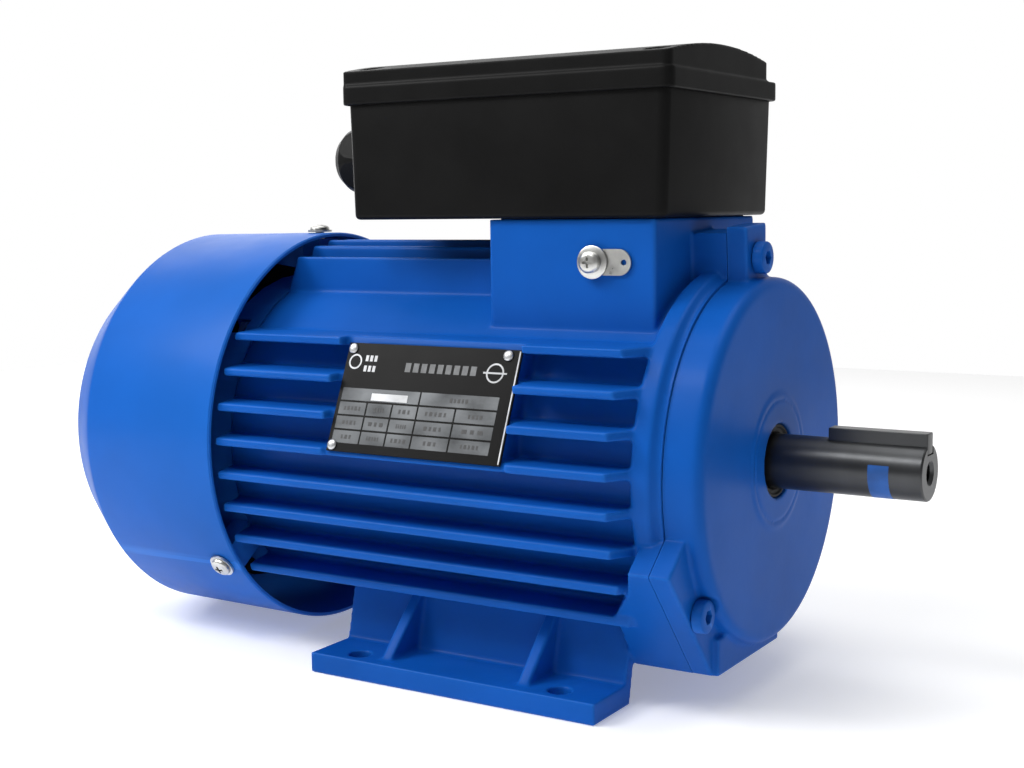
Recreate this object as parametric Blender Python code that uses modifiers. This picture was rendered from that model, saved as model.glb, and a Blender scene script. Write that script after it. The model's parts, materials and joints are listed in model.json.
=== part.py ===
"""A foot-mounted, fan-cooled single-phase electric motor, as separate pieces in one assembly.

The shaft lies along X with its free end at +X, Z is up, and the feet stand on z = 0. The pieces are laid
out from a station near the middle of the shaft, and the last step moves them all so that the origin is
the middle of the base of the motor's overall box. Sizes are in millimetres here, and are scaled where a
mesh or a location is written.
"""

import math

import bmesh
import bpy
from mathutils import Matrix, Vector

MM = 0.001
GAP = 0.3  # clearance between pieces that touch

# Driving dimensions
SHAFT_HEIGHT = 80.0
SHAFT_END = 157.6
REAR_END = -172.6
FOOT_CENTRE = 10.9
FOOT_PITCH_X = 84.0
FOOT_PITCH_Y = 125.0
SHAFT_RADIUS = 9.5
BODY_RADIUS = 62.0
FIN_RADIUS = 75.5
BORE_RADIUS = 54.0
SPIGOT_RADIUS = 56.0
COWL_RADIUS = 79.0
COWL_REAR_RADIUS = 64.0
SHEET = 1.5  # cowl sheet thickness

# Stations along X
FRAME_REAR = -91.0
FRAME_FRONT = 91.2
CORE_REAR = -47.0
CORE_FRONT = 49.0
SHIELD_FACE = 104.6
LUG_FACE = 98.5
COWL_EDGE = -86.7
COWL_SHOULDER = -150.5
COWL_SCREW_X = -95.5

# How finely round shapes are made
WIDE_STEPS = 32
STEPS = 16
SMALL_STEPS = 8

# Angles about the shaft, from +Y towards +Z
SHIELD_LUG_ANGLES = (94.0, 350.0, 219.5)
SHIELD_BOLT_CIRCLE = (70.5, 70.0, 68.0)
REAR_BOLT_ANGLES = (45.0, 135.0, 270.0)
REAR_BOLT_CIRCLE = 59.0
COWL_SCREW_ANGLES = (90.0, 216.0, 324.0)

# Terminal box
PEDESTAL = ((13.5, -41.0), (77.9, 41.0))
PEDESTAL_TOP = 164.1
BOX_LOW = (-45.4, -43.8, 164.4)
BOX_HIGH = (83.0, 43.8, 210.5)
BOX_WALL = 2.6
SEAT_RIM = 2.7  # the pedestal's rim round the box gasket
SEAT_DEPTH = 1.4
BOX_SCREWS = ((20.5, -34.0), (20.5, 34.0), (70.0, -34.0), (70.0, 34.0))
LID_SCREWS = ((-38.0, -38.0), (-38.0, 29.0), (77.0, -38.0), (77.0, 29.0))
GLAND_Y = -12.0
GLAND_Z = 187.0
EARTH_X = 55.2
EARTH_Z = 149.7

# Nameplate: the outer face's middle in (y, z), its lean from upright, and its size
PLATE_X = 1.7
PLATE_MIDDLE = (-67.1, 102.5)
PLATE_LEAN = math.radians(23.0)
PLATE_SIZE = (72.4, 40.0, 0.8)

MATERIALS = {
    "blue_paint": ((0.02, 0.16, 0.55), 0.35, 0.0),
    "black_plastic": ((0.012, 0.012, 0.012), 0.4, 0.0),
    "steel": ((0.18, 0.18, 0.19), 0.3, 1.0),
    "bright_steel": ((0.6, 0.6, 0.6), 0.3, 1.0),
    "lamination": ((0.25, 0.25, 0.27), 0.5, 1.0),
    "copper": ((0.7, 0.3, 0.12), 0.4, 1.0),
    "aluminium": ((0.75, 0.75, 0.75), 0.4, 1.0),
    "rubber": ((0.02, 0.02, 0.02), 0.8, 0.0),
    "brass": ((0.75, 0.55, 0.2), 0.35, 1.0),
    "phenolic": ((0.12, 0.05, 0.02), 0.5, 0.0),
    "label": ((0.02, 0.02, 0.02), 0.35, 0.0),
}


# ---------------------------------------------------------------- tools


def clear_scene():
    for obj in list(bpy.data.objects):
        bpy.data.objects.remove(obj, do_unlink=True)


def new_collection(name, hidden):
    collection = bpy.data.collections.new(name)
    bpy.context.scene.collection.children.link(collection)
    collection.hide_render = hidden
    return collection


def new_material(name):
    colour, roughness, metallic = MATERIALS[name]
    material = bpy.data.materials.new(name)
    material.use_nodes = True
    shader = material.node_tree.nodes["Principled BSDF"]
    shader.inputs["Base Color"].default_value = (*colour, 1.0)
    shader.inputs["Roughness"].default_value = roughness
    shader.inputs["Metallic"].default_value = metallic
    return material


clear_scene()
PARTS = new_collection("electric_motor", False)
CUTTERS = new_collection("cutters", True)
FINISH = {name: new_material(name) for name in MATERIALS}


def add(name, mesh, finish=None):
    """A new object: a part where it has a finish, and otherwise a helper for a Boolean."""
    obj = bpy.data.objects.new(name, mesh)
    if finish:
        PARTS.objects.link(obj)
        if not mesh.materials:
            mesh.materials.append(FINISH[finish])
    else:
        CUTTERS.objects.link(obj)
        obj.hide_render = True
        obj.display_type = "WIRE"
    return obj


def mesh_of(name, bm):
    mesh = bpy.data.meshes.new(name)
    bmesh.ops.recalc_face_normals(bm, faces=bm.faces)
    bm.to_mesh(mesh)
    bm.free()
    return mesh


def box(name, low, high, finish=None, upright=0.0, edges=0.0, segments=3):
    """A block between two corners; upright rounds its vertical edges and edges chamfers its rims."""
    low = Vector(low)
    high = Vector(high)
    bm = bmesh.new()
    bmesh.ops.create_cube(bm, size=1.0)
    bmesh.ops.scale(bm, vec=(high - low) * MM, verts=bm.verts)
    if upright:
        sides = [e for e in bm.edges if abs(e.verts[0].co.z - e.verts[1].co.z) > MM * 0.01]
        bmesh.ops.bevel(
            bm, geom=sides, offset=upright * MM, segments=segments, profile=0.5, affect="EDGES"
        )
    if edges:
        rims = [e for e in bm.edges if abs(e.verts[0].co.z - e.verts[1].co.z) < MM * 0.01]
        bmesh.ops.bevel(
            bm, geom=rims, offset=edges * MM, segments=1, profile=0.5, affect="EDGES"
        )
    obj = add(name, mesh_of(name, bm), finish)
    obj.location = (low + high) / 2 * MM
    return obj


def turned(name, profile, finish=None, centre=(0.0, 0.0, SHAFT_HEIGHT), along=(1, 0, 0), steps=STEPS):
    """A profile of (radius, station) points turned about the line through centre along a direction."""
    closed = profile[0][0] > 0
    loop = profile + profile[:1] if closed else profile
    swept = sum(a[0] * b[1] - b[0] * a[1] for a, b in zip(loop, loop[1:] + loop[:1]))
    if swept > 0:
        profile = profile[::-1]
    mesh = bpy.data.meshes.new(name)
    count = len(profile)
    edges = [(i, (i + 1) % count) for i in range(count if closed else count - 1)]
    mesh.from_pydata([(r * MM, 0.0, s * MM) for r, s in profile], edges, [])
    obj = add(name, mesh, finish)
    obj.location = Vector(centre) * MM
    obj.rotation_euler = Vector(along).to_track_quat("Z", "Y").to_euler()
    screw = obj.modifiers.new("Turn", "SCREW")
    screw.axis = "Z"
    screw.steps = steps
    screw.render_steps = steps
    screw.use_merge_vertices = True
    screw.merge_threshold = 0.00001
    screw.use_smooth_shade = True
    return obj


def rod(name, radius, start, end, centre, along, steps=SMALL_STEPS):
    """A plain cylinder from one station to another along a line."""
    return turned(
        name, [(0, end), (radius, end), (radius, start), (0, start)], None, centre, along, steps
    )


def hexagon(name, across_flats, start, end, centre, along, finish=None):
    """A hexagonal prism along a line."""
    radius = across_flats / math.sqrt(3)
    return turned(
        name, [(0, end), (radius, end), (radius, start), (0, start)], finish, centre, along, 6
    )


FACING = {
    "X": Matrix(((0, 0, 1), (1, 0, 0), (0, 1, 0))),
    "Y": Matrix(((1, 0, 0), (0, 0, -1), (0, 1, 0))),
}


def extruded(name, outline, start, end, facing="X", finish=None):
    """A flat outline pushed along X, when its points are (y, z), or along -Y, when they are (x, z)."""
    curve = bpy.data.curves.new(name, "CURVE")
    curve.dimensions = "2D"
    curve.fill_mode = "BOTH"
    curve.extrude = abs(end - start) / 2 * MM
    spline = curve.splines.new("POLY")
    spline.points.add(len(outline) - 1)
    for point, (u, v) in zip(spline.points, outline):
        point.co = (u * MM, v * MM, 0.0, 1.0)
    spline.use_cyclic_u = True
    drawn = bpy.data.objects.new(name + "_curve", curve)
    CUTTERS.objects.link(drawn)
    mesh = bpy.data.meshes.new_from_object(drawn)
    bpy.data.objects.remove(drawn, do_unlink=True)
    bm = bmesh.new()
    bm.from_mesh(mesh)
    bmesh.ops.remove_doubles(bm, verts=bm.verts, dist=0.000001)
    bpy.data.meshes.remove(mesh)
    obj = add(name, mesh_of(name, bm), finish)
    middle = (start + end) / 2 * MM
    obj.location = (middle, 0.0, 0.0) if facing == "X" else (0.0, middle, 0.0)
    obj.rotation_euler = FACING[facing].to_euler()
    return obj


def boolean(obj, others, operation):
    """Join the others to the object, or cut them from it, in one step."""
    group = bpy.data.collections.new(f"{obj.name}_{operation.lower()}_{len(obj.modifiers)}")
    CUTTERS.children.link(group)
    for other in others:
        group.objects.link(other)
        CUTTERS.objects.unlink(other)
    modifier = obj.modifiers.new(operation.title(), "BOOLEAN")
    modifier.operation = operation
    modifier.operand_type = "COLLECTION"
    modifier.collection = group
    modifier.solver = "EXACT"


def join(obj, others):
    boolean(obj, others, "UNION")


def cut(obj, others):
    boolean(obj, others, "DIFFERENCE")


def settled_mesh(obj, name):
    """The mesh that the object's modifiers make, for copies to share; the object itself goes."""
    graph = bpy.context.evaluated_depsgraph_get()
    mesh = bpy.data.meshes.new_from_object(obj.evaluated_get(graph))
    mesh.name = name
    mesh.shade_smooth()
    mesh.set_sharp_from_angle(angle=math.radians(35.0))
    bpy.data.objects.remove(obj, do_unlink=True)
    return mesh


def place(name, mesh, location, along, finish):
    """A copy of a shared mesh, whose own +Z points along a direction."""
    obj = add(name, mesh, finish)
    obj.location = Vector(location) * MM
    obj.rotation_euler = Vector(along).to_track_quat("Z", "Y").to_euler()
    return obj


def around(angle, radius):
    """The (y, z) point at an angle and radius about the shaft."""
    turn = math.radians(angle)
    return radius * math.cos(turn), SHAFT_HEIGHT + radius * math.sin(turn)


def arc(centre, radius, first, last, count):
    """Points on an arc between two angles in degrees, as (u, v)."""
    turns = [math.radians(first + (last - first) * i / count) for i in range(count + 1)]
    return [(centre[0] + radius * math.cos(t), centre[1] + radius * math.sin(t)) for t in turns]


def fastener(name, shank, length, head, finish):
    """A shared screw mesh: its seat is at 0, its head at +Z, and its shank reaches to -length.

    head is a list of (kind, size, start, end), with kind hexagon or disc.
    """
    base = rod(name + "_shank", shank, -length, head[-1][2] + 0.5, (0, 0, 0), (0, 0, 1), 8)
    pieces = []
    for index, (kind, size, start, end) in enumerate(head):
        maker = hexagon if kind == "hexagon" else rod
        pieces.append(maker(f"{name}_{index}", size, start, end, (0, 0, 0), (0, 0, 1)))
    join(base, pieces)
    mesh = settled_mesh(base, name)
    for piece in pieces:
        bpy.data.objects.remove(piece, do_unlink=True)
    mesh.materials.clear()
    mesh.materials.append(FINISH[finish])
    return mesh


# ---------------------------------------------------------------- frame


FIN_FRONT = 84.0
FIN_TOP = 41.6
FIN_STEP = 12.7
FIN_COUNT = 8
TOP_FIN_STEP = 9.4
TOP_FIN_CROWN = 76.3
TOP_FIN_FALL = 0.0115  # per mm: the outer fins are lower than the middle ones
FIN_TIP = 1.3  # half thickness at the tip
FIN_ROOT = 2.4
PAD_LENGTH = 118.0
PAD_HEIGHT = 7.5
PAD_OUTER = 70.0
PAD_INNER = 44.5
WEB = 4.0
WEB_TOP = 42.0
WEB_LEAN = 9.0  # how far the web leans in under the body on its way up
GUSSET_SPREAD = 28.7
PLATE_SEAT_SPREAD = 76.0
LOW_LUG = (51.5, 73.7)  # width and outer radius of the broad lug


def side_fins():
    """Level fins that run right across the body; the bore is cut through them afterwards."""
    fins = []
    for index in range(FIN_COUNT):
        height = FIN_TOP - FIN_STEP * index
        reach = math.sqrt(FIN_RADIUS**2 - height**2)
        z = SHAFT_HEIGHT + height
        outline = [
            (-reach, z + FIN_TIP), (-reach, z - FIN_TIP), (0, z - FIN_ROOT),
            (reach, z - FIN_TIP), (reach, z + FIN_TIP), (0, z + FIN_ROOT),
        ]
        fins.append(extruded(f"side_fin_{index + 1}", outline, FRAME_REAR, FIN_FRONT))
    return fins


def top_fins():
    """Upright fins from the rear end to the pedestal."""
    fins = []
    for index in range(6):
        y = (index - 2.5) * TOP_FIN_STEP
        tip = SHAFT_HEIGHT + TOP_FIN_CROWN - TOP_FIN_FALL * y**2
        root = SHAFT_HEIGHT + BODY_RADIUS - 8.0
        outline = [
            (y - FIN_ROOT, root), (y + FIN_ROOT, root), (y + FIN_TIP, tip), (y - FIN_TIP, tip),
        ]
        fins.append(extruded(f"top_fin_{index + 1}", outline, FRAME_REAR, PEDESTAL[0][0] + 3.0))
    return fins


def fin_cluster():
    """All the fins on a core, with both their ends sloped back from root to tip."""
    core = [(0, FIN_FRONT), (60.0, FIN_FRONT), (60.0, FRAME_REAR), (0, FRAME_REAR)]
    cluster = turned("fin_cluster", core, steps=WIDE_STEPS)
    join(cluster, side_fins() + top_fins())
    root = BODY_RADIUS + 0.5
    slopes = []
    for name, end, back in (("rear", FRAME_REAR, 5.0), ("front", FIN_FRONT, -7.5)):
        past = end - back / 5
        ring = [(root, past), (root, end), (root + 14.0, end + back), (90.0, end + 1.8 * back)]
        slopes.append(turned(f"{name}_fin_slope", ring + [(90.0, past)], steps=WIDE_STEPS))
    cut(cluster, slopes)
    return cluster


def feet():
    """Two foot pads, each with an upright web into the body and two triangular gussets."""
    pieces = []
    low = FOOT_CENTRE - PAD_LENGTH / 2
    high = FOOT_CENTRE + PAD_LENGTH / 2
    for side, sign in (("near", -1), ("far", 1)):
        inner = sign * PAD_INNER
        outer = sign * PAD_OUTER
        web = sign * (PAD_INNER + WEB)
        lean = -sign * WEB_LEAN
        pieces.append(box(
            f"{side}_pad", (low, min(inner, outer), 0), (high, max(inner, outer), PAD_HEIGHT)
        ))
        leg = [(inner, 1), (web, 1), (web, 5), (web + lean, WEB_TOP), (inner + lean, WEB_TOP)]
        pieces.append(extruded(f"{side}_web", leg, low, high))
        for end in (-1, 1):
            x = FOOT_CENTRE + end * GUSSET_SPREAD
            outline = [
                (web + lean / 2, PAD_HEIGHT - 1), (sign * 65.5, PAD_HEIGHT - 1),
                (sign * 65.5, PAD_HEIGHT), (web + lean / 2, 29.0), (web + lean, 29.0),
            ]
            pieces.append(extruded(f"{side}_gusset_{end}", outline, x - 2, x + 2))
    return pieces


def radial_block(name, angle, inner, outer, width, start, end):
    """A block that stands out from the shaft's line at an angle."""
    turn = math.radians(angle)
    block = box(name, (start, -width / 2, inner), (end, width / 2, outer))
    middle = (inner + outer) / 2
    block.location = Vector((
        (start + end) / 2, middle * math.cos(turn), SHAFT_HEIGHT + middle * math.sin(turn)
    )) * MM
    block.rotation_euler = (turn - math.pi / 2, 0, 0)
    return block


def lug_blocks(owner, start, end, tall):
    """The bolt lugs at the drive end: two narrow ones, and a broad one low on the near side."""
    top, far, low = SHIELD_LUG_ANGLES
    blocks = [
        radial_block(f"{owner}_top_lug", top, 50.0, tall, 17.5, start, end),
        radial_block(f"{owner}_far_lug", far, 50.0, 76.0, 14.0, start, end),
    ]
    if owner == "shield":
        blocks.append(radial_block("shield_low_lug", low, 50.0, LOW_LUG[1], LOW_LUG[0], start, end))
        return blocks
    half = LOW_LUG[0] / 2
    outline = [
        (end, half), (start + 6.5, half), (start + 2.9, 14.7), (start - 6.2, 1.3),
        (start - 8.2, -half), (end, -half),
    ]
    block = extruded("frame_low_lug", outline, -50.0, -LOW_LUG[1], "Y")
    turn = math.radians(low - 180.0)
    block.matrix_world = (
        Matrix.Translation((0, 0, SHAFT_HEIGHT * MM)) @ Matrix.Rotation(turn, 4, "X")
        @ Matrix.LocRotScale(block.location, block.rotation_euler, None)
    )
    return blocks + [block]


def bolt_points():
    """Where the three drive-end bolts stand, as (y, z)."""
    return [around(a, r) for a, r in zip(SHIELD_LUG_ANGLES, SHIELD_BOLT_CIRCLE)]


def plate_block(name, depth_out, depth_in, width, height, finish=None):
    """A block along the nameplate's face: from depth_out outside that face to depth_in inside it."""
    low = (-width / 2, -depth_out, -height / 2)
    block = box(name, low, (width / 2, depth_in, height / 2), finish)
    block.rotation_euler = (-PLATE_LEAN, 0, 0)
    offset = Vector((0, (depth_in - depth_out) / 2, 0))
    offset.rotate(Matrix.Rotation(-PLATE_LEAN, 3, "X"))
    block.location = (Vector((PLATE_X, *PLATE_MIDDLE)) + offset) * MM
    return block


def make_frame():
    """The cast body: a finned tube with a front flange, feet, the box pedestal and bolt lugs."""
    profile = [
        (0, FRAME_FRONT), (64.3, FRAME_FRONT), (64.6, 89.4), (66.4, 88.2), (66.7, 87.4),
        (66.7, 82.0), (65.0, 80.8), (BODY_RADIUS, 80.0), (BODY_RADIUS, FRAME_REAR),
        (0, FRAME_REAR),
    ]
    frame = turned("frame", profile, "blue_paint", steps=WIDE_STEPS)
    (left, near), (right, far) = PEDESTAL
    pedestal = box("pedestal", (left, near, 118), (right, far, PEDESTAL_TOP))
    ribs = [
        box(f"plate_rib_{i}", (x - 3.5, -72, 84), (x + 3.5, -40, 120))
        for i, x in enumerate((PLATE_X - 32.0, PLATE_X + 32.0))
    ]
    solids = [fin_cluster()] + feet() + [pedestal] + ribs
    solids += lug_blocks("frame", 77.5, FRAME_FRONT, 79.6)
    solids.append(box("frame_pad", (69.3, -40, 13.2), (FRAME_FRONT, 12, 26)))
    join(frame, solids)

    centre = (0, 0, SHAFT_HEIGHT)
    cuts = [
        rod("bore", BORE_RADIUS, -120, 120, centre, (1, 0, 0), WIDE_STEPS),
        rod("front_register", SPIGOT_RADIUS, 87.5, 120, centre, (1, 0, 0), WIDE_STEPS),
        rod("rear_register", SPIGOT_RADIUS, -120, -85.5, centre, (1, 0, 0), WIDE_STEPS),
        plate_block("plate_seat", 20, PLATE_SIZE[2] + GAP, PLATE_SEAT_SPREAD, 46.0),
        box("pedestal_pocket", (26, -28, 150), (65, 28, 170), upright=4),
        box(
            "gasket_seat", (left + SEAT_RIM, near + SEAT_RIM, PEDESTAL_TOP - SEAT_DEPTH),
            (right - SEAT_RIM, far - SEAT_RIM, 170),
        ),
        box("wire_passage", (32, -14, 100), (59, 14, 155)),
        rod("earth_hole", 1.8, -20, 5, (EARTH_X, near, EARTH_Z), (0, -1, 0)),
    ]
    for i, x in enumerate((-1, 1)):
        for j, y in enumerate((-1, 1)):
            place_at = (FOOT_CENTRE + x * FOOT_PITCH_X / 2, y * FOOT_PITCH_Y / 2, 0)
            cuts.append(rod(f"foot_hole_{i}{j}", 4.0, -5, 20, place_at, (0, 0, 1)))
    for i, (y, z) in enumerate(bolt_points()):
        cuts.append(rod(f"bolt_hole_{i}", 2.7, 74, 100, (0, y, z), (1, 0, 0)))
    for i, angle in enumerate(REAR_BOLT_ANGLES):
        y, z = around(angle, REAR_BOLT_CIRCLE)
        cuts.append(rod(f"rear_hole_{i}", 2.2, -100, -76, (0, y, z), (1, 0, 0)))
    for i, (x, y) in enumerate(BOX_SCREWS):
        cuts.append(rod(f"box_hole_{i}", 2.2, 150, 170, (x, y, 0), (0, 0, 1)))
    for i, point in enumerate(rivet_points()):
        hole = rod(f"rivet_hole_{i}", 1.1, -8, 4, point, plate_normal(), 8)
        cuts.append(hole)
    cut(frame, cuts)
    return frame


# ---------------------------------------------------------------- end shields


def make_drive_end_shield():
    """The front cover: a cup with the bearing housing inside and the seal's raised ring outside."""
    corner = arc((59.9, 101.0), 3.6, 90, 0, 3)
    profile = [(r, s) for r, s in corner]
    back = FRAME_FRONT + GAP
    profile += [
        (63.5, back), (SPIGOT_RADIUS - GAP, back), (SPIGOT_RADIUS - GAP, 88.0),
        (51.0, 88.0), (51.0, 97.0), (48.0, 99.6), (31.5, 99.6), (29.5, 97.5), (29.5, 84.0),
        (23.8, 84.0), (23.8, 100.8), (13.2, 100.8), (13.2, 105.2), (22.2, 105.2), (23.2, 104.6),
    ]
    shield = turned("drive_end_shield", profile, "blue_paint", steps=WIDE_STEPS)
    join(shield, lug_blocks("shield", back, LUG_FACE, 81.6) + [
        box("shield_pad", (back, -40, 13.2), (100.5, 12, 26)),
        radial_block("ear", 18.0, 55.0, 76.0, 10.0, back, 97.0),
    ])
    room = turned("shield_room", [(29.6, 98.0), (50.5, 98.0), (50.5, 70.0), (29.6, 70.0)])
    holes = [
        turned(
            f"shield_hole_{i}", [(0, 120), (6.4, 120), (6.4, LUG_FACE), (2.9, LUG_FACE), (2.9, 80),
                                 (0, 80)], None, (0, y, z), steps=SMALL_STEPS,
        )
        for i, (y, z) in enumerate(bolt_points())
    ]
    cut(shield, [room] + holes)
    return shield


def make_rear_end_shield():
    """The rear cover: a disc with the rear bearing housing and three arms that carry the cowl."""
    profile = [
        (62.0, -91.3), (62.0, -106.0), (60.0, -107.0), (57.0, -107.0), (55.0, -101.5),
        (51.0, -97.3), (30.0, -97.3), (26.0, -99.0), (26.0, -109.5),
        (11.0, -109.5), (11.0, -107.6), (20.3, -107.6), (20.3, -93.7), (26.5, -93.7),
        (51.0, -91.3), (51.0, -86.2), (SPIGOT_RADIUS - GAP, -86.2), (SPIGOT_RADIUS - GAP, -91.3),
    ]
    shield = turned("rear_end_shield", profile, "blue_paint", steps=WIDE_STEPS)
    arms = [
        radial_block(f"cowl_arm_{i}", angle, 40.0, 76.5, 12.0, -99.5, -91.3)
        for i, angle in enumerate(COWL_SCREW_ANGLES)
    ]
    join(shield, arms)
    holes = []
    for i, angle in enumerate(COWL_SCREW_ANGLES):
        turn = math.radians(angle)
        out = (0, math.cos(turn), math.sin(turn))
        holes.append(rod(f"arm_hole_{i}", 2.2, 62, 90, (COWL_SCREW_X, 0, SHAFT_HEIGHT), out))
    for i, angle in enumerate(REAR_BOLT_ANGLES):
        y, z = around(angle, REAR_BOLT_CIRCLE)
        holes.append(rod(f"rear_clear_{i}", 2.4, -120, -80, (0, y, z), (1, 0, 0)))
        holes.append(rod(f"rear_head_room_{i}", 4.6, -120, -97.3, (0, y, z), (1, 0, 0)))
    cut(shield, holes)
    return shield


# ---------------------------------------------------------------- stator and rotor


SLOTS = 24
BARS = 12


def make_stator_core():
    core = turned(
        "stator_core",
        [(53.6, CORE_FRONT), (53.6, CORE_REAR), (31.1, CORE_REAR), (31.1, CORE_FRONT)],
        "lamination",
    )
    slots = [
        radial_block(f"slot_{i}", 360 * i / SLOTS, 33.6, 43.9, 4.4, -60, 60) for i in range(SLOTS)
    ]
    cut(core, slots)
    return core


def make_stator_winding():
    """Both end-turn rings and the wires that join them through the core's slots, as one coil body."""
    front = CORE_FRONT + 0.5
    rear = CORE_REAR - 0.5
    end_turns = [
        (34.0, 0.0), (44.0, 0.0), (49.5, 6.0), (51.5, 14.0), (49.5, 23.0), (44.0, 26.0),
        (37.5, 24.5), (34.5, 18.0),
    ]
    winding = turned("stator_winding", [(r, front + s) for r, s in end_turns], "copper")
    back = turned("rear_end_turns", [(r, rear - s) for r, s in end_turns])
    wires = [
        radial_block(f"slot_wires_{i}", 360 * i / SLOTS, 34.2, 43.4, 3.6, rear - 2, front + 2)
        for i in range(SLOTS)
    ]
    join(winding, [back] + wires)
    return winding


def bar_rods(name, radius, start, end):
    rods = []
    for i in range(BARS):
        y, z = around(360 * i / BARS, 26.6)
        rods.append(rod(f"{name}_{i}", radius, start, end, (0, y, z), (1, 0, 0), 6))
    return rods


def make_rotor_core():
    core = turned(
        "rotor_core",
        [(30.0, CORE_FRONT), (30.0, CORE_REAR), (13.3, CORE_REAR), (13.3, CORE_FRONT)],
        "lamination",
    )
    cut(core, bar_rods("bar_slot", 2.4, -80, 80))
    return core


def make_rotor_cage():
    """Two aluminium end rings cast as one with the bars that join them."""
    def ring(start, end):
        return [(30.2, end), (30.2, start), (18.0, start), (18.0, end)]

    cage = turned("rotor_cage", ring(CORE_FRONT + GAP, CORE_FRONT + 8), "aluminium")
    rear = turned("rear_cage_ring", ring(CORE_REAR - 8, CORE_REAR - GAP))
    join(cage, [rear] + bar_rods("bar", 2.0, CORE_REAR - 3, CORE_FRONT + 3))
    return cage


def make_shaft():
    profile = [
        (0, SHAFT_END), (9.0, SHAFT_END), (SHAFT_RADIUS, SHAFT_END - 0.5), (SHAFT_RADIUS, 101.0),
        (10.0, 100.6), (10.0, 86.2), (12.5, 86.2), (12.5, 62.0), (13.0, 62.0), (13.0, -62.0),
        (11.5, -62.0), (11.5, -93.7), (8.5, -93.7), (8.5, -108.0), (8.0, -108.4),
        (8.0, -142.5), (7.4, -143.2), (0, -143.2),
    ]
    shaft = turned("shaft", profile, "steel")
    groove = turned("clip_groove", [(20, -139.0), (20, -140.2), (7.4, -140.2), (7.4, -139.0)])
    centre_hole = turned(
        "centre_hole", [(0, SHAFT_END + 2), (6.2, SHAFT_END + 2), (3.3, SHAFT_END - 0.9),
                        (3.3, SHAFT_END - 14), (0, SHAFT_END - 16)], steps=24,
    )
    keyway = box(
        "keyway", (KEY_START - GAP, -3.0 - GAP, SHAFT_HEIGHT + 6.0),
        (SHAFT_END + 5, 3.0 + GAP, SHAFT_HEIGHT + 20),
    )
    cut(shaft, [groove, centre_hole, keyway])
    return shaft


KEY_START = 123.7


def make_key():
    return box(
        "shaft_key", (KEY_START, -3.0, SHAFT_HEIGHT + 6.3),
        (SHAFT_END - 0.1, 3.0, SHAFT_HEIGHT + 13.3), "steel", edges=0.3,
    )


# ---------------------------------------------------------------- bearings


def make_bearing(end, middle, half_width, bore, outside, pitch, ball):
    """A deep-groove ball bearing as an inner ring, an outer ring, and the balls in their cage."""
    groove = ball + 2 * GAP
    lip = groove * 0.72
    spread = math.degrees(math.asin(lip / groove))
    low, high = middle - half_width, middle + half_width
    inner_race = arc((pitch, middle), groove, 180 + spread, 180 - spread, 2)
    outer_race = arc((pitch, middle), groove, -spread, spread, 2)
    inner_lip = pitch - math.sqrt(groove**2 - lip**2)
    outer_lip = pitch + math.sqrt(groove**2 - lip**2)
    inner = [(bore, low), (inner_lip, low)] + inner_race + [(inner_lip, high), (bore, high)]
    outer = [(outside, low), (outer_lip, low)] + outer_race + [(outer_lip, high), (outside, high)]
    turned(f"{end}_bearing_inner_ring", inner, "bright_steel", steps=20)
    turned(f"{end}_bearing_outer_ring", outer, "bright_steel", steps=20)
    band = [
        (pitch + 0.6, middle + ball * 0.8), (pitch + 0.6, middle - ball * 0.8),
        (pitch - 0.6, middle - ball * 0.8), (pitch - 0.6, middle + ball * 0.8),
    ]
    cage = turned(f"{end}_bearing_ball_cage", band, "bright_steel", steps=20)
    balls = []
    for i in range(8):
        bm = bmesh.new()
        bmesh.ops.create_uvsphere(bm, u_segments=6, v_segments=5, radius=ball * MM)
        sphere = add(f"{end}_ball_{i}", mesh_of(f"{end}_ball_{i}", bm))
        y, z = around(360 * i / 8, pitch)
        sphere.location = Vector((middle, y, z)) * MM
        balls.append(sphere)
    join(cage, balls)


def make_wave_washer():
    """The spring washer that preloads the rear bearing: a thin ring bent into three waves."""
    washer = turned(
        "wave_washer", [(19.6, -106.5), (19.6, -107.0), (15.4, -107.0), (15.4, -106.5)],
        "bright_steel", steps=24,
    )
    mesh = settled_mesh(washer, "wave_washer")
    for vertex in mesh.vertices:
        turn = math.atan2(vertex.co.y, vertex.co.x)
        vertex.co.z += 0.15 * MM * math.cos(3 * turn)
    return place("wave_washer", mesh, (0, 0, SHAFT_HEIGHT), (1, 0, 0), "bright_steel")


def make_shaft_seal():
    return turned(
        "shaft_seal",
        [(12.9, 104.3), (12.9, 101.2), (11.6, 101.2), (9.8, 102.2), (9.8, 102.8), (11.2, 104.3)],
        "rubber",
    )


# ---------------------------------------------------------------- fan and cowl


def make_fan():
    """A two-way radial fan: straight blades on a back plate and a hub."""
    profile = [
        (8.3, -117.0), (60.0, -117.0), (66.0, -119.0), (66.0, -121.0), (60.0, -119.4),
        (17.0, -119.4), (15.0, -138.7), (8.3, -138.7),
    ]
    fan = turned("fan", profile, "black_plastic", steps=20)
    blades = []
    for i in range(8):
        blade = radial_block(f"blade_{i}", 45 * i + 22.5, 12.0, 65.0, 2.4, -148.0, -118.2)
        blades.append(blade)
    join(fan, blades)
    cut(fan, [rod("fan_bore", 8.3, -160, -100, (0, 0, SHAFT_HEIGHT), (1, 0, 0), 32)])
    return fan


def make_fan_circlip():
    clip = turned(
        "fan_circlip", [(11.0, -139.2), (11.0, -140.0), (7.7, -140.0), (7.7, -139.2)],
        "bright_steel", steps=40,
    )
    cut(clip, [box("clip_gap", (-145, -2, SHAFT_HEIGHT), (-135, 2, SHAFT_HEIGHT + 15))])
    return clip


GRILLE_PITCH = 11.0
GRILLE_SLOT = 6.0
GRILLE_RADIUS = 57.0


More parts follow.
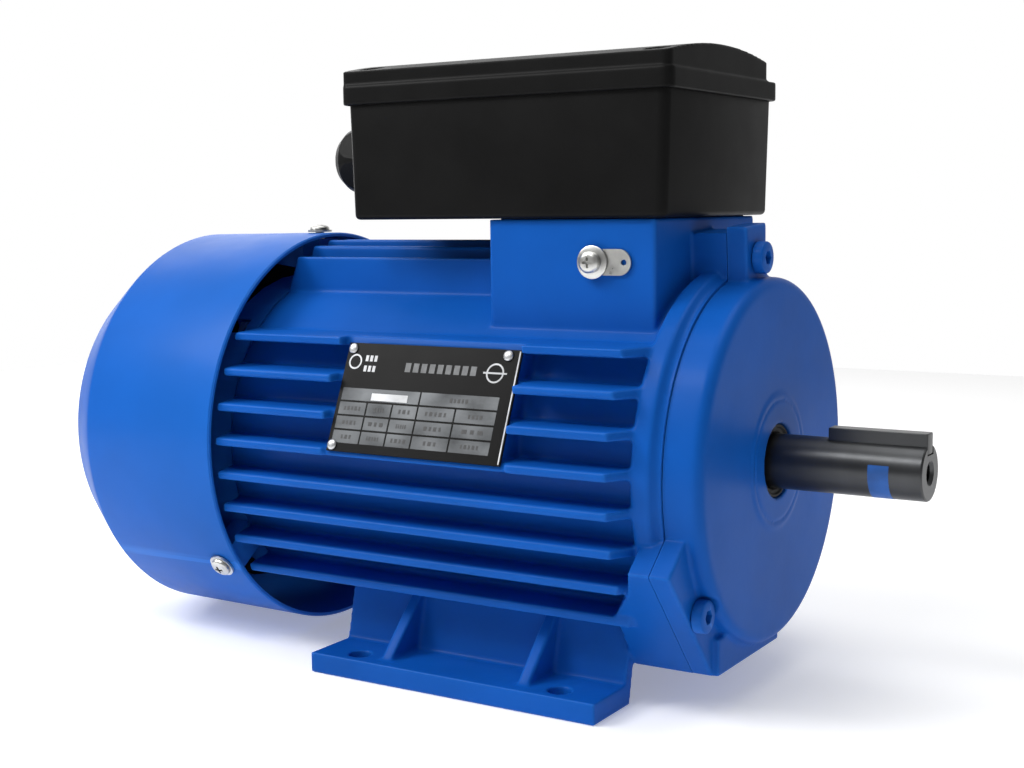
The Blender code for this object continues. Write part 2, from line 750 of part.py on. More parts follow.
def make_fan_cowl():
    """A pressed steel cup over the fan, with a chamfered rear edge and slots for the air."""
    outside = [
        (COWL_RADIUS, COWL_EDGE), (COWL_RADIUS - 0.6, COWL_SHOULDER),
        (COWL_RADIUS - 2.2, COWL_SHOULDER - 3.0), (COWL_REAR_RADIUS + 1.0, REAR_END + 1.6),
        (COWL_REAR_RADIUS - 0.6, REAR_END + 0.3), (COWL_REAR_RADIUS - 3.0, REAR_END),
    ]
    inside = [(radius - SHEET, station + SHEET * 0.7) for radius, station in outside[1:-1]]
    inside = [(COWL_RADIUS - SHEET, COWL_EDGE)] + inside
    inside.append((COWL_REAR_RADIUS - 3.6, REAR_END + SHEET))
    profile = [(0, REAR_END + SHEET)] + inside[::-1] + outside + [(0, REAR_END)]
    cowl = turned("fan_cowl", profile, "blue_paint", steps=WIDE_STEPS)
    slots = []
    rows = int(GRILLE_RADIUS // GRILLE_PITCH)
    for row in range(-rows, rows + 1):
        height = row * GRILLE_PITCH
        reach = math.sqrt(GRILLE_RADIUS**2 - height**2)
        hub = math.sqrt(max(12.0**2 - height**2, 0))
        start = max(3.0, hub)
        for sign in (-1, 1):
            low, high = sorted((sign * start, sign * reach))
            z = SHAFT_HEIGHT + height
            slots.append(box(
                f"slot_{row}_{sign}", (REAR_END - 5, low, z - GRILLE_SLOT / 2),
                (REAR_END + 5, high, z + GRILLE_SLOT / 2),
            ))
    for i, angle in enumerate(COWL_SCREW_ANGLES):
        turn = math.radians(angle)
        out = (0, math.cos(turn), math.sin(turn))
        slots.append(rod(f"cowl_hole_{i}", 2.3, 70, 90, (COWL_SCREW_X, 0, SHAFT_HEIGHT), out))
    cut(cowl, slots)
    return cowl


# ---------------------------------------------------------------- terminal box


def make_terminal_box():
    """An open-topped moulded box on the pedestal, with posts for the lid screws."""
    low = Vector(BOX_LOW)
    high = Vector(BOX_HIGH)
    wall = Vector((BOX_WALL, BOX_WALL, BOX_WALL))
    housing = box("terminal_box", low, high, "black_plastic", upright=3.5, edges=2.0)
    room = box("box_room", low + wall, high + Vector((-BOX_WALL, -BOX_WALL, 10)), upright=2.0)
    cut(housing, [room])
    floor = BOX_LOW[2]
    join(housing, [
        rod(f"lid_post_{i}", 4.2, floor + 1, 209.0, (x, y, 0), (0, 0, 1))
        for i, (x, y) in enumerate(LID_SCREWS)
    ])
    holes = [
        rod(f"post_hole_{i}", 1.9, 185, 230, (x, y, 0), (0, 0, 1), 12)
        for i, (x, y) in enumerate(LID_SCREWS)
    ]
    holes += [
        rod(f"floor_hole_{i}", 2.4, 150, 180, (x, y, 0), (0, 0, 1))
        for i, (x, y) in enumerate(BOX_SCREWS)
    ]
    holes.append(box("wire_entry", (29, -25, 150), (62, 1, 180), upright=4))
    holes.append(rod("gland_hole", 8.4, -10, 10, (BOX_LOW[0], GLAND_Y, GLAND_Z), (1, 0, 0), 32))
    cut(housing, holes)
    return housing


def make_box_gasket():
    (left, near), (right, far) = PEDESTAL
    inset = SEAT_RIM + GAP
    gasket = box(
        "box_gasket", (left + inset, near + inset, PEDESTAL_TOP - SEAT_DEPTH + GAP),
        (right - inset, far - inset, BOX_LOW[2] - GAP), "rubber",
    )
    holes = [box("gasket_room", (29, -27, 150), (62, 27, 180), upright=4)]
    holes += [
        rod(f"gasket_hole_{i}", 2.4, 150, 180, (x, y, 0), (0, 0, 1))
        for i, (x, y) in enumerate(BOX_SCREWS)
    ]
    cut(gasket, holes)
    return gasket


LID_RIM_LOW = 205.8
LID_RIM_TOP = 212.6
LID_SHOULDER = 217.6
LID_CROWN = 222.6
LID_X = (-47.9, 85.5)
LID_HALF = 45.4
DOME_Y = (-44.6, 37.8)  # the raised middle stops short of the far rim
DOME_X = (LID_X[0] + 0.2, LID_X[1] - 0.8)


def make_box_lid():
    """A crowned lid with a skirt that laps over the box's rim."""
    near, far = DOME_Y
    crown = []
    for i in range(13):
        y = far + (near - far) * i / 12
        crown.append((y, LID_CROWN - (LID_CROWN - LID_SHOULDER) * (y / LID_HALF) ** 2))
    outline = [(far, LID_RIM_TOP - 1)] + crown + [(near, LID_RIM_TOP - 1)]
    lid = box(
        "box_lid", (LID_X[0], -LID_HALF, LID_RIM_LOW), (LID_X[1], LID_HALF, LID_RIM_TOP),
        "black_plastic", upright=3.5, edges=0.5,
    )
    dome = extruded("lid_dome", outline, *DOME_X)
    corners = box(
        "lid_corners", (DOME_X[0], near, 200), (DOME_X[1], far, 230), upright=2.5, segments=4
    )
    boolean(dome, [corners], "INTERSECT")
    join(lid, [dome])
    rooms = [
        box("lid_rim_room", (LID_X[0] + 1.4, -44.4, 200), (83.6, 44.4, 211.9), upright=3.0),
        box("lid_room", (-42.0, -40.8, 205), (80.0, 34.5, 214.9), upright=2.0),
    ]
    for i, (x, y) in enumerate(LID_SCREWS):
        rooms.append(rod(f"lid_hole_{i}", 2.1, 200, 240, (x, y, 0), (0, 0, 1)))
        rooms.append(rod(f"lid_sink_{i}", 4.2, 216.0, 240, (x, y, 0), (0, 0, 1), 24))
    cut(lid, rooms)
    return lid


def make_lid_gasket():
    gasket = box(
        "lid_gasket", (-45.6, -43.6, 210.8), (82.8, 43.6, 211.6), "rubber", upright=2.8
    )
    cut(gasket, [box("lid_gasket_room", (-43.2, -41.2, 200), (80.4, 41.2, 220), upright=2.0)])
    return gasket


BOARD = ((-28.0, -38.0, 167.3), (14.0, -6.0, 173.0))
STUDS = ((-20.0, -30.0), (6.0, -30.0), (-20.0, -14.0), (6.0, -14.0))


def make_terminal_board():
    board = box("terminal_board", *BOARD, "phenolic")
    barrier = box("board_barrier", (-8.2, -37.5, 170), (-5.8, -6.5, 182))
    join(board, [barrier])
    cut(board, [
        rod(f"stud_hole_{i}", 2.1, 165, 180, (x, y, 0), (0, 0, 1), 12)
        for i, (x, y) in enumerate(STUDS)
    ])
    return board


CAPACITOR_RADIUS = 16.0
CAPACITOR_Y = 22.0
CAPACITOR_Z = 184.8


def make_run_capacitor():
    centre = (0, CAPACITOR_Y, CAPACITOR_Z)
    profile = [
        (0, 56.0), (14.5, 56.0), (CAPACITOR_RADIUS, 54.5), (CAPACITOR_RADIUS, -26.0),
        (14.5, -27.5), (0, -27.5),
    ]
    can = turned("run_capacitor", profile, "aluminium", centre)
    tabs = [
        box(f"tab_{i}", (50, CAPACITOR_Y + y - 3, CAPACITOR_Z - 0.4),
            (65, CAPACITOR_Y + y + 3, CAPACITOR_Z + 0.4))
        for i, y in enumerate((-7, 7))
    ]
    join(can, tabs)
    return can


def make_capacitor_clamp():
    """A strap over the capacitor, with a foot on each side that screws to the box floor."""
    centre = (CAPACITOR_Y, CAPACITOR_Z)
    inner = CAPACITOR_RADIUS + GAP
    outer = inner + 1.0
    base = BOX_LOW[2] + BOX_WALL + GAP
    outline = arc(centre, outer, 0, 180, 14)
    left = CAPACITOR_Y - outer
    right = CAPACITOR_Y + outer
    outline += [(left, base + 1), (left - 4, base + 1), (left - 4, base), (left + 1, base)]
    outline += arc(centre, inner, 180, 0, 14)
    outline += [(right - 1, base), (right, base)]
    return extruded("capacitor_clamp", outline, 4.0, 16.0, "X", "bright_steel")


def make_gland():
    """The cable gland in the box's rear wall: body, dome nut, rubber seal and inner locknut."""
    centre = (0, GLAND_Y, GLAND_Z)
    wall = BOX_LOW[0]
    hexed = hexagon("gland_hex", 24.0, wall - 5.3, wall - GAP, centre, (1, 0, 0))
    body = turned(
        "gland_body", [(9.5, wall - 14), (9.5, wall - 3), (8.0, wall - 2), (8.0, wall + 9),
                       (6.4, wall + 9), (6.4, wall - 14)], "black_plastic", centre, steps=24,
    )
    join(body, [hexed])
    cut(body, [rod("gland_bore", 6.4, wall - 30, wall + 20, centre, (1, 0, 0), 24)])
    nut = hexagon(
        "gland_nut", 24.0, wall - 24.0, wall - 5.8, centre, (1, 0, 0), "black_plastic"
    )
    outside = turned(
        "nut_dome", [(0, wall - 5), (14.2, wall - 5), (13.2, wall - 17), (12.2, wall - 20.5),
                     (10.0, wall - 23.4), (9.0, wall - 25), (0, wall - 25)], None, centre, steps=24,
    )
    boolean(nut, [outside], "INTERSECT")
    cut(nut, [
        turned(
            "nut_room", [(0, wall), (9.9, wall), (9.9, wall - 19), (5.6, wall - 20.4),
                         (5.6, wall - 30), (0, wall - 30)], None, centre, steps=24,
        )
    ])
    seal = turned(
        "gland_seal", [(9.4, wall - 14.4), (9.4, wall - 18.6), (5.2, wall - 19.6), (5.2, wall - 14.4)],
        "rubber", centre,
    )
    locknut = turned(
        "gland_locknut", [(13.0, wall + 7), (13.0, wall + 2.9), (8.3, wall + 2.9), (8.3, wall + 7)],
        "black_plastic", centre, steps=6,
    )
    cut(locknut, [rod("locknut_bore", 8.3, wall - 5, wall + 20, centre, (1, 0, 0), 24)])
    return body, nut, seal, locknut


# ---------------------------------------------------------------- earth terminal and nameplate


def make_earth_terminal():
    near = PEDESTAL[0][1]
    tag_end = EARTH_X + 14.2
    half = 4.4
    outline = arc((tag_end - half, EARTH_Z), half, 90, -90, 8)
    outline += arc((EARTH_X, EARTH_Z), half, 270, 90, 8)
    tag = extruded("earth_tag", outline, near - GAP, near - GAP - 0.8, "Y", "bright_steel")
    cut(tag, [
        rod("tag_bolt_hole", 2.1, -5, 5, (EARTH_X, near, EARTH_Z), (0, -1, 0)),
        rod("tag_wire_hole", 1.0, -5, 5, (tag_end - 2.6, near, EARTH_Z), (0, -1, 0)),
    ])
    turned(
        "earth_washer", [(5.6, 2.2), (5.6, 1.4), (2.1, 1.4), (2.1, 2.2)], "bright_steel",
        (EARTH_X, near, EARTH_Z), (0, -1, 0),
    )
    mesh = fastener("earth_bolt", 1.5, 17.0, [("hexagon", 6.4, 0.0, 2.8)], "bright_steel")
    place("earth_bolt", mesh, (EARTH_X, near - 2.5, EARTH_Z), (0, -1, 0), "bright_steel")


def plate_normal():
    """The direction that the nameplate faces."""
    return (0, -math.cos(PLATE_LEAN), math.sin(PLATE_LEAN))


def rivet_points():
    """The three rivets' places on the nameplate's outer face."""
    upright = Vector((0, math.sin(PLATE_LEAN), math.cos(PLATE_LEAN)))
    middle = Vector((PLATE_X, *PLATE_MIDDLE))
    left = -PLATE_SIZE[0] / 2 + 2.2
    right = PLATE_SIZE[0] / 2 - 5.0
    edge = PLATE_SIZE[1] / 2 - 2.2
    return [
        middle + Vector((across, 0, 0)) + upright * up
        for across, up in ((left, edge), (left, -edge), (right, edge))
    ]


def make_nameplate():
    width, height, thickness = PLATE_SIZE
    plate = plate_block("nameplate", 0, thickness, width, height, "label")
    cut(plate, [
        rod(f"plate_hole_{i}", 1.2, -5, 5, point, plate_normal(), 8)
        for i, point in enumerate(rivet_points())
    ])
    mesh = fastener("nameplate_rivet", 0.8, 6.0, [("disc", 1.9, 0.0, 0.9)], "aluminium")
    for i, point in enumerate(rivet_points()):
        seat = point + Vector(plate_normal()) * GAP
        place(f"nameplate_rivet_{i + 1}", mesh, seat, plate_normal(), "aluminium")


# ---------------------------------------------------------------- fasteners


def make_shield_bolts():
    head = [
        (0, 1.2), (1.8, 1.2), (1.8, 3.8), (4.6, 3.8), (5.5, 3.0), (5.5, 0), (2.3, 0), (2.3, -22.0),
        (0, -22.0),
    ]
    bolt = turned("shield_bolt", head, None, (0, 0, 0), (0, 0, 1), 16)
    mesh = settled_mesh(bolt, "shield_bolt")
    for i, (y, z) in enumerate(bolt_points()):
        place(f"shield_bolt_{i + 1}", mesh, (LUG_FACE + GAP, y, z), (1, 0, 0), "blue_paint")


def make_rear_bolts():
    mesh = fastener("rear_shield_bolt", 1.8, 20.0, [("hexagon", 7.0, 0.0, 2.8)], "bright_steel")
    for i, angle in enumerate(REAR_BOLT_ANGLES):
        y, z = around(angle, REAR_BOLT_CIRCLE)
        place(f"rear_shield_bolt_{i + 1}", mesh, (-97.3 - GAP, y, z), (-1, 0, 0), "bright_steel")


def make_cowl_screws():
    head = [("disc", 5.0, 0.0, 0.8), ("disc", 4.0, 0.6, 2.0), ("disc", 3.2, 1.8, 2.9)]
    mesh = fastener("cowl_screw", 1.8, 14.0, head, "bright_steel")
    for i, angle in enumerate(COWL_SCREW_ANGLES):
        turn = math.radians(angle)
        y, z = around(angle, COWL_RADIUS + GAP)
        out = (0, math.cos(turn), math.sin(turn))
        place(f"cowl_screw_{i + 1}", mesh, (COWL_SCREW_X, y, z), out, "bright_steel")


def make_box_fasteners():
    floor = BOX_LOW[2] + BOX_WALL
    mesh = fastener("box_screw", 1.8, 14.0, [("disc", 3.8, 0.0, 2.6)], "bright_steel")
    for i, (x, y) in enumerate(BOX_SCREWS):
        place(f"box_screw_{i + 1}", mesh, (x, y, floor + GAP), (0, 0, 1), "bright_steel")
    mesh = fastener("lid_screw", 1.5, 18.0, [("disc", 3.6, 0.0, 2.4)], "bright_steel")
    for i, (x, y) in enumerate(LID_SCREWS):
        place(f"lid_screw_{i + 1}", mesh, (x, y, 216.0 + GAP), (0, 0, 1), "bright_steel")
    head = [("hexagon", 7.0, 0.0, 3.2), ("disc", 1.8, 3.0, 12.0)]
    mesh = fastener("terminal_stud", 1.8, 5.4, head, "brass")
    for i, (x, y) in enumerate(STUDS):
        place(f"terminal_stud_{i + 1}", mesh, (x, y, 173.0 + GAP), (0, 0, 1), "brass")


def centre_on_base():
    """Moves every piece and helper so that the origin is under the middle of the whole length."""
    shift = -(SHAFT_END + REAR_END) / 2 * MM
    for obj in bpy.data.objects:
        obj.location.x += shift


def main():
    make_shield_bolts()
    make_rear_bolts()
    make_cowl_screws()
    make_box_fasteners()
    make_earth_terminal()
    make_nameplate()
    make_wave_washer()
    make_frame()
    make_drive_end_shield()
    make_rear_end_shield()
    make_stator_core()
    make_stator_winding()
    make_rotor_core()
    make_rotor_cage()
    make_shaft()
    make_key()
    make_bearing("drive", 93.5, 7.0, 10.3, 23.5, 16.8, 3.6)
    make_bearing("rear", -100.0, 6.0, 8.8, 20.0, 14.3, 2.9)
    make_shaft_seal()
    make_fan()
    make_fan_circlip()
    make_fan_cowl()
    make_terminal_box()
    make_box_gasket()
    make_box_lid()
    make_lid_gasket()
    make_terminal_board()
    make_run_capacitor()
    make_capacitor_clamp()
    make_gland()
    centre_on_base()


main()
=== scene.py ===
"""Looks for the electric motor: castings, pressings, fasteners and materials on the CAD frame."""

import json
import math

import bmesh
import bpy
from mathutils import Matrix, Vector


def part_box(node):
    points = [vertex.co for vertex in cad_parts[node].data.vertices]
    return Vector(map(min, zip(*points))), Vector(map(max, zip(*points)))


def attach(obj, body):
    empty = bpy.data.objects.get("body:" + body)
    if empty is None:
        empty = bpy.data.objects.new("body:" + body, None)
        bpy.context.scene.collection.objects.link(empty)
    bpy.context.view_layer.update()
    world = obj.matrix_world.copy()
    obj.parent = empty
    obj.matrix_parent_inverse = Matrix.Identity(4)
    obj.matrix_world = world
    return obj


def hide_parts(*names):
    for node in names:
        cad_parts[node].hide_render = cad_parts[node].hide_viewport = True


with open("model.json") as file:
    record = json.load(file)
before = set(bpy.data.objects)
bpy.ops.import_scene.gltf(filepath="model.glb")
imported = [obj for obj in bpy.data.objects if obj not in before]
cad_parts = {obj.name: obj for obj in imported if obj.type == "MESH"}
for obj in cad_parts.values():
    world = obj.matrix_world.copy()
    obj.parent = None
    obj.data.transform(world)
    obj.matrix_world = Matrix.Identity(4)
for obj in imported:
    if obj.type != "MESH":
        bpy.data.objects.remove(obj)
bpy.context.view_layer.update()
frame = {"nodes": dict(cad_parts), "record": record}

MM = 0.001

# ---------------------------------------------------------------- where things are
# Sizes are in millimetres. Stations along the shaft are counted in the CAD's own layout, where the
# shaft ends at SHAFT_END, and at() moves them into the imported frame.
SHAFT_END = 157.6
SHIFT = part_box("shaft")[1][0] / MM - SHAFT_END
SHAFT_HEIGHT = (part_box("shaft")[0][2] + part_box("shaft")[1][2]) / 2 / MM
FRAME_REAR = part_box("frame")[0][0] / MM - SHIFT
FRAME_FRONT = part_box("frame")[1][0] / MM - SHIFT
REAR_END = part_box("fan_cowl")[0][0] / MM - SHIFT
COWL_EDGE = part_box("fan_cowl")[1][0] / MM - SHIFT
COWL_RADIUS = (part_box("fan_cowl")[1][1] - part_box("fan_cowl")[0][1]) / 2 / MM
COWL_SHOULDER = -150.5
COWL_REAR_RADIUS = 64.0
SHEET = 1.5

BODY_RADIUS = 62.0
FIN_RADIUS = 75.5
BORE_RADIUS = 54.0
SPIGOT_RADIUS = 56.0
GAP = 0.3  # between pieces that touch
FIN_FRONT = 84.0
FIN_TOP = 41.6
FIN_STEP = 12.7
FIN_COUNT = 8
TOP_FIN_COUNT = 6
TOP_FIN_STEP = 9.4
TOP_FIN_CROWN = 76.3
TOP_FIN_FALL = 0.0115  # per mm: the outer fins are lower than the middle ones
SHIELD_FACE = 104.6
LUG_FACE = 98.5
LUG_ROOT = 50.0
TOP_LUG_WIDTH = 17.5
FAR_LUG = (14.0, 75.8)  # width and outer radius
LOW_LUG = (51.5, 73.7)  # width and outer radius of the broad lug
LUG_ANGLES = (94.0, 350.0, 219.5)
BOLT_CIRCLE = (70.5, 70.0, 68.0)
BOLT_HOLE = 3.2
COWL_SCREW_X = -95.5
COWL_SCREW_ANGLES = (90.0, 216.0, 324.0)

FOOT_CENTRE = 10.9
FOOT_PITCH_X = 84.0
FOOT_PITCH_Y = 125.0
FOOT_HOLE = 4.1
PAD_LENGTH = 118.0
PAD_HEIGHT = 7.5
PAD_OUTER = 70.0
PAD_INNER = 44.5
WEB = 4.0
WEB_TOP = 42.0
WEB_LEAN = 9.0  # how far the web leans in under the body on its way up
GUSSET_SPREAD = 28.7

PEDESTAL = ((13.5, -41.0), (77.9, 41.0))
PEDESTAL_TOP = 164.1
SEAT_RIM = 2.7
SEAT_DEPTH = 1.4
BOX_LOW = (-45.4, -43.8, 164.4)
BOX_HIGH = (83.0, 43.8, 210.5)
BOX_WALL = 2.6
FLOOR_HOLE = 2.4
BOX_SCREWS = ((20.5, -34.0), (20.5, 34.0), (70.0, -34.0), (70.0, 34.0))
LID_SCREWS = ((-38.0, -38.0), (-38.0, 29.0), (77.0, -38.0), (77.0, 29.0))
GLAND_Y = -12.0
GLAND_Z = 187.0
GLAND_FLATS = 24.0
EARTH_X = 55.2
EARTH_Z = 149.7

PLATE_X = 1.7
PLATE_MIDDLE = (-67.1, 102.5)
PLATE_LEAN = math.radians(23.0)
PLATE_SIZE = (72.4, 40.0, 0.8)


# ---------------------------------------------------------------- mesh tools


def new_object(name, mesh):
    """A mesh as an object in the scene."""
    obj = bpy.data.objects.new(name, mesh)
    bpy.context.scene.collection.objects.link(obj)
    return obj


def from_bmesh(name, bm):
    """A finished bmesh as an object, with its faces turned outwards."""
    bmesh.ops.recalc_face_normals(bm, faces=bm.faces)
    mesh = bpy.data.meshes.new(name)
    bm.to_mesh(mesh)
    bm.free()
    return new_object(name, mesh)


def along(direction):
    """The turn that points an object's Z axis along a direction."""
    return Vector(direction).to_track_quat("Z", "Y").to_euler()


def at(x, y, z):
    """A place in the CAD's frame, in metres, from layout millimetres."""
    return Vector((x + SHIFT, y, z)) * MM


def turned(name, profile, centre=(0.0, 0.0, SHAFT_HEIGHT), direction=(1, 0, 0), steps=96):
    """A closed loop of (radius, station) points turned about a line."""
    bm = bmesh.new()
    rows = [bm.verts.new((radius * MM, 0.0, station * MM)) for radius, station in profile]
    edges = [bm.edges.new((a, b)) for a, b in zip(rows, rows[1:])]
    if profile[0][0] > 0:
        edges.append(bm.edges.new((rows[-1], rows[0])))
    bmesh.ops.spin(
        bm, geom=rows + edges, cent=(0, 0, 0), axis=(0, 0, 1), dvec=(0, 0, 0),
        angle=math.tau, steps=steps, use_merge=True,
    )
    bmesh.ops.remove_doubles(bm, verts=bm.verts, dist=0.000001)
    obj = from_bmesh(name, bm)
    obj.location = at(*centre)
    obj.rotation_euler = along(direction)
    return obj


def rod(name, radius, start, end, centre, direction, steps=48):
    """A solid cylinder, or a prism when steps is small, along a direction from a centre."""
    return turned(
        name, [(0, end), (radius, end), (radius, start), (0, start)], centre, direction, steps
    )


def uprights(name, places, radius, low, high, steps=24):
    """A rod standing at each (x, y) place, from one height to another."""
    return [
        rod(f"{name}_{i}", radius, low, high, (x, y, 0), (0, 0, 1), steps)
        for i, (x, y) in enumerate(places)
    ]


def block(name, low, high, upright=0.0, rims=0.0, segments=4):
    """A block between two corners; upright rounds its vertical edges, rims its level ones."""
    low = Vector(low)
    high = Vector(high)
    bm = bmesh.new()
    bmesh.ops.create_cube(bm, size=1.0)
    bmesh.ops.scale(bm, vec=(high - low) * MM, verts=bm.verts)

    def bevel(vertical, offset):
        tall = [
            e for e in bm.edges
            if (abs(e.verts[0].co.z - e.verts[1].co.z) > 0.01 * MM) == vertical
        ]
        bmesh.ops.bevel(
            bm, geom=tall, offset=offset * MM, segments=segments, profile=0.5, affect="EDGES"
        )

    if upright:
        bevel(True, upright)
    if rims:
        bevel(False, rims)
    obj = from_bmesh(name, bm)
    obj.location = at(*((low + high) / 2))
    return obj


def prism(name, outline, start, end, facing="X"):
    """An outline pushed along X, when its points are (y, z), or along Y, when they are (x, z)."""
    bm = bmesh.new()
    if facing == "X":
        base = [bm.verts.new(at(start, u, v)) for u, v in outline]
        push = Vector(((end - start) * MM, 0, 0))
    else:
        base = [bm.verts.new(at(u, start, v)) for u, v in outline]
        push = Vector((0, (end - start) * MM, 0))
    face = bm.faces.new(base)
    swept = bmesh.ops.extrude_face_region(bm, geom=[face])
    moved = [item for item in swept["geom"] if isinstance(item, bmesh.types.BMVert)]
    bmesh.ops.translate(bm, vec=push, verts=moved)
    return from_bmesh(name, bm)


def around(angle, radius):
    """The (y, z) point at an angle and a radius from the shaft's line."""
    turn = math.radians(angle)
    return radius * math.cos(turn), SHAFT_HEIGHT + radius * math.sin(turn)


def arc(centre, radius, first, last, count):
    """Points on an arc from one angle to another, in degrees."""
    turns = [math.radians(first + (last - first) * i / count) for i in range(count + 1)]
    return [(centre[0] + radius * math.cos(t), centre[1] + radius * math.sin(t)) for t in turns]


def radial_block(name, angle, inner, outer, width, start, end):
    """A block that stands out from the shaft's line at an angle."""
    turn = math.radians(angle)
    obj = block(name, (start, -width / 2, inner), (end, width / 2, outer))
    y, z = around(angle, (inner + outer) / 2)
    obj.location = at((start + end) / 2, y, z)
    obj.rotation_euler = (turn - math.pi / 2, 0, 0)
    return obj


def combine(obj, others, operation):
    """Adds a boolean modifier that takes several objects at once."""
    group = bpy.data.collections.new(f"{obj.name}_{operation}")
    for other in others:
        group.objects.link(other)
    modifier = obj.modifiers.new(operation, "BOOLEAN")
    modifier.operation = operation
    modifier.operand_type = "COLLECTION"
    modifier.collection = group
    modifier.solver = "EXACT"


def settle(obj, others=()):
    """Makes the object's modifiers permanent and deletes its helpers."""
    bpy.context.view_layer.update()
    graph = bpy.context.evaluated_depsgraph_get()
    mesh = bpy.data.meshes.new_from_object(obj.evaluated_get(graph))
    obj.modifiers.clear()
    obj.data = mesh
    for other in others:
        bpy.data.objects.remove(other, do_unlink=True)
    for group in [g for g in bpy.data.collections if g.name.startswith(obj.name + "_")]:
        bpy.data.collections.remove(group)


def carve(obj, solids=(), cuts=()):
    """Joins solids to an object, then takes cuts out of it."""
    if solids:
        combine(obj, solids, "UNION")
    if cuts:
        combine(obj, cuts, "DIFFERENCE")
    settle(obj, [*solids, *cuts])


def cast(obj, voxel, passes):
    """Melts an object's edges and inner corners together, the way a casting's are."""
    remesh = obj.modifiers.new("Grain", "REMESH")
    remesh.mode = "VOXEL"
    remesh.voxel_size = voxel * MM
    remesh.adaptivity = 0.0
    soften = obj.modifiers.new("Soften", "SMOOTH")
    soften.factor = 0.5
    soften.iterations = passes
    settle(obj)
    obj.data.shade_smooth()


def faced(obj, station, side):
    """Cuts a casting off flat at a station, as its joint is machined; side is what goes."""
    bm = bmesh.new()
    bm.from_mesh(obj.data)
    sliced = bmesh.ops.bisect_plane(
        bm, geom=[*bm.verts, *bm.edges, *bm.faces], plane_co=(0, 0, station * MM),
        plane_no=(0, 0, 1), clear_outer=side > 0, clear_inner=side < 0,
    )
    rim = [item for item in sliced["geom_cut"] if isinstance(item, bmesh.types.BMEdge)]
    for edge in rim:
        edge.smooth = False
    bmesh.ops.triangle_fill(bm, edges=rim)
    bm.to_mesh(obj.data)
    bm.free()


def crisp(obj, width, segments=2):
    """Small rounded edges for a machined, pressed or moulded piece."""
    bevel = obj.modifiers.new("Edges", "BEVEL")
    bevel.width = width * MM
    bevel.segments = segments
    bevel.limit_method = "ANGLE"
    bevel.angle_limit = math.radians(30.0)
    bevel.harden_normals = True
    obj.data.shade_smooth()


def smooth(obj, angle):
    """Smooth shading, broken where faces meet at more than an angle in degrees."""
    obj.data.shade_smooth()
    obj.data.set_sharp_from_angle(angle=math.radians(angle))


# ---------------------------------------------------------------- materials


def new_material(name, colour, roughness, metallic=0.0, shine=0.5):
    """A plain material to build on, and its shader; shine is its Specular IOR Level."""
    material = bpy.data.materials.new(name)
    material.use_nodes = True
    shader = material.node_tree.nodes["Principled BSDF"]
    shader.inputs["Base Color"].default_value = (*colour, 1.0)
    shader.inputs["Roughness"].default_value = roughness
    shader.inputs["Metallic"].default_value = metallic
    shader.inputs["Specular IOR Level"].default_value = shine
    return material, shader


def noise(material, scale, detail=4.0, stretch=(1, 1, 1)):
    """Noise in the object's own space, in cells per metre."""
    nodes = material.node_tree.nodes
    links = material.node_tree.links
    place = nodes.new("ShaderNodeTexCoord")
    mapping = nodes.new("ShaderNodeMapping")
    mapping.inputs["Scale"].default_value = stretch
    texture = nodes.new("ShaderNodeTexNoise")
    texture.inputs["Scale"].default_value = scale
    texture.inputs["Detail"].default_value = detail
    links.new(place.outputs["Object"], mapping.inputs["Vector"])
    links.new(mapping.outputs["Vector"], texture.inputs["Vector"])
    return texture.outputs["Fac"]


def ramp(material, factor, stops):
    """A factor as a colour, through (position, colour) stops."""
    nodes = material.node_tree.nodes
    node = nodes.new("ShaderNodeValToRGB")
    elements = node.color_ramp.elements
    while len(elements) < len(stops):
        elements.new(0.5)
    for element, (position, colour) in zip(elements, stops):
        element.position = position
        element.color = (*colour, 1.0)
    material.node_tree.links.new(factor, node.inputs["Fac"])
    return node.outputs["Color"]


def blend(material, factor, first, second):
    """One colour over another where factor is high."""
    node = material.node_tree.nodes.new("ShaderNodeMix")
    node.data_type = "RGBA"
    links = material.node_tree.links
    links.new(factor, node.inputs["Factor"])
    for socket, value in ((node.inputs["A"], first), (node.inputs["B"], second)):
        if isinstance(value, tuple):
            socket.default_value = (*value, 1.0)
        else:
            links.new(value, socket)
    return node.outputs["Result"]


def spread(material, factor, low, high):
    """A factor from 0 to 1 as a number from low to high."""
    node = material.node_tree.nodes.new("ShaderNodeMapRange")
    node.inputs["To Min"].default_value = low
    node.inputs["To Max"].default_value = high
    material.node_tree.links.new(factor, node.inputs["Value"])
    return node.outputs["Result"]


def bump(material, shader, layers):
    """Stacks bumps; each layer is (height, strength, distance in millimetres)."""
    normal = None
    for height, strength, distance in layers:
        node = material.node_tree.nodes.new("ShaderNodeBump")
        node.inputs["Strength"].default_value = strength
        node.inputs["Distance"].default_value = distance * MM
        material.node_tree.links.new(height, node.inputs["Height"])
        if normal:
            material.node_tree.links.new(normal, node.inputs["Normal"])
        normal = node.outputs["Normal"]
    material.node_tree.links.new(normal, shader.inputs["Normal"])


def edge_factor(material, low, high):
    """High on convex edges, from the surface's pointiness."""
    node = material.node_tree.nodes.new("ShaderNodeNewGeometry")
    limits = material.node_tree.nodes.new("ShaderNodeMapRange")
    limits.inputs["From Min"].default_value = low
    limits.inputs["From Max"].default_value = high
    material.node_tree.links.new(node.outputs["Pointiness"], limits.inputs["Value"])
    return limits.outputs["Result"]


BLUE = (0.004, 0.088, 0.41)
WORN_BLUE = (0.018, 0.15, 0.56)


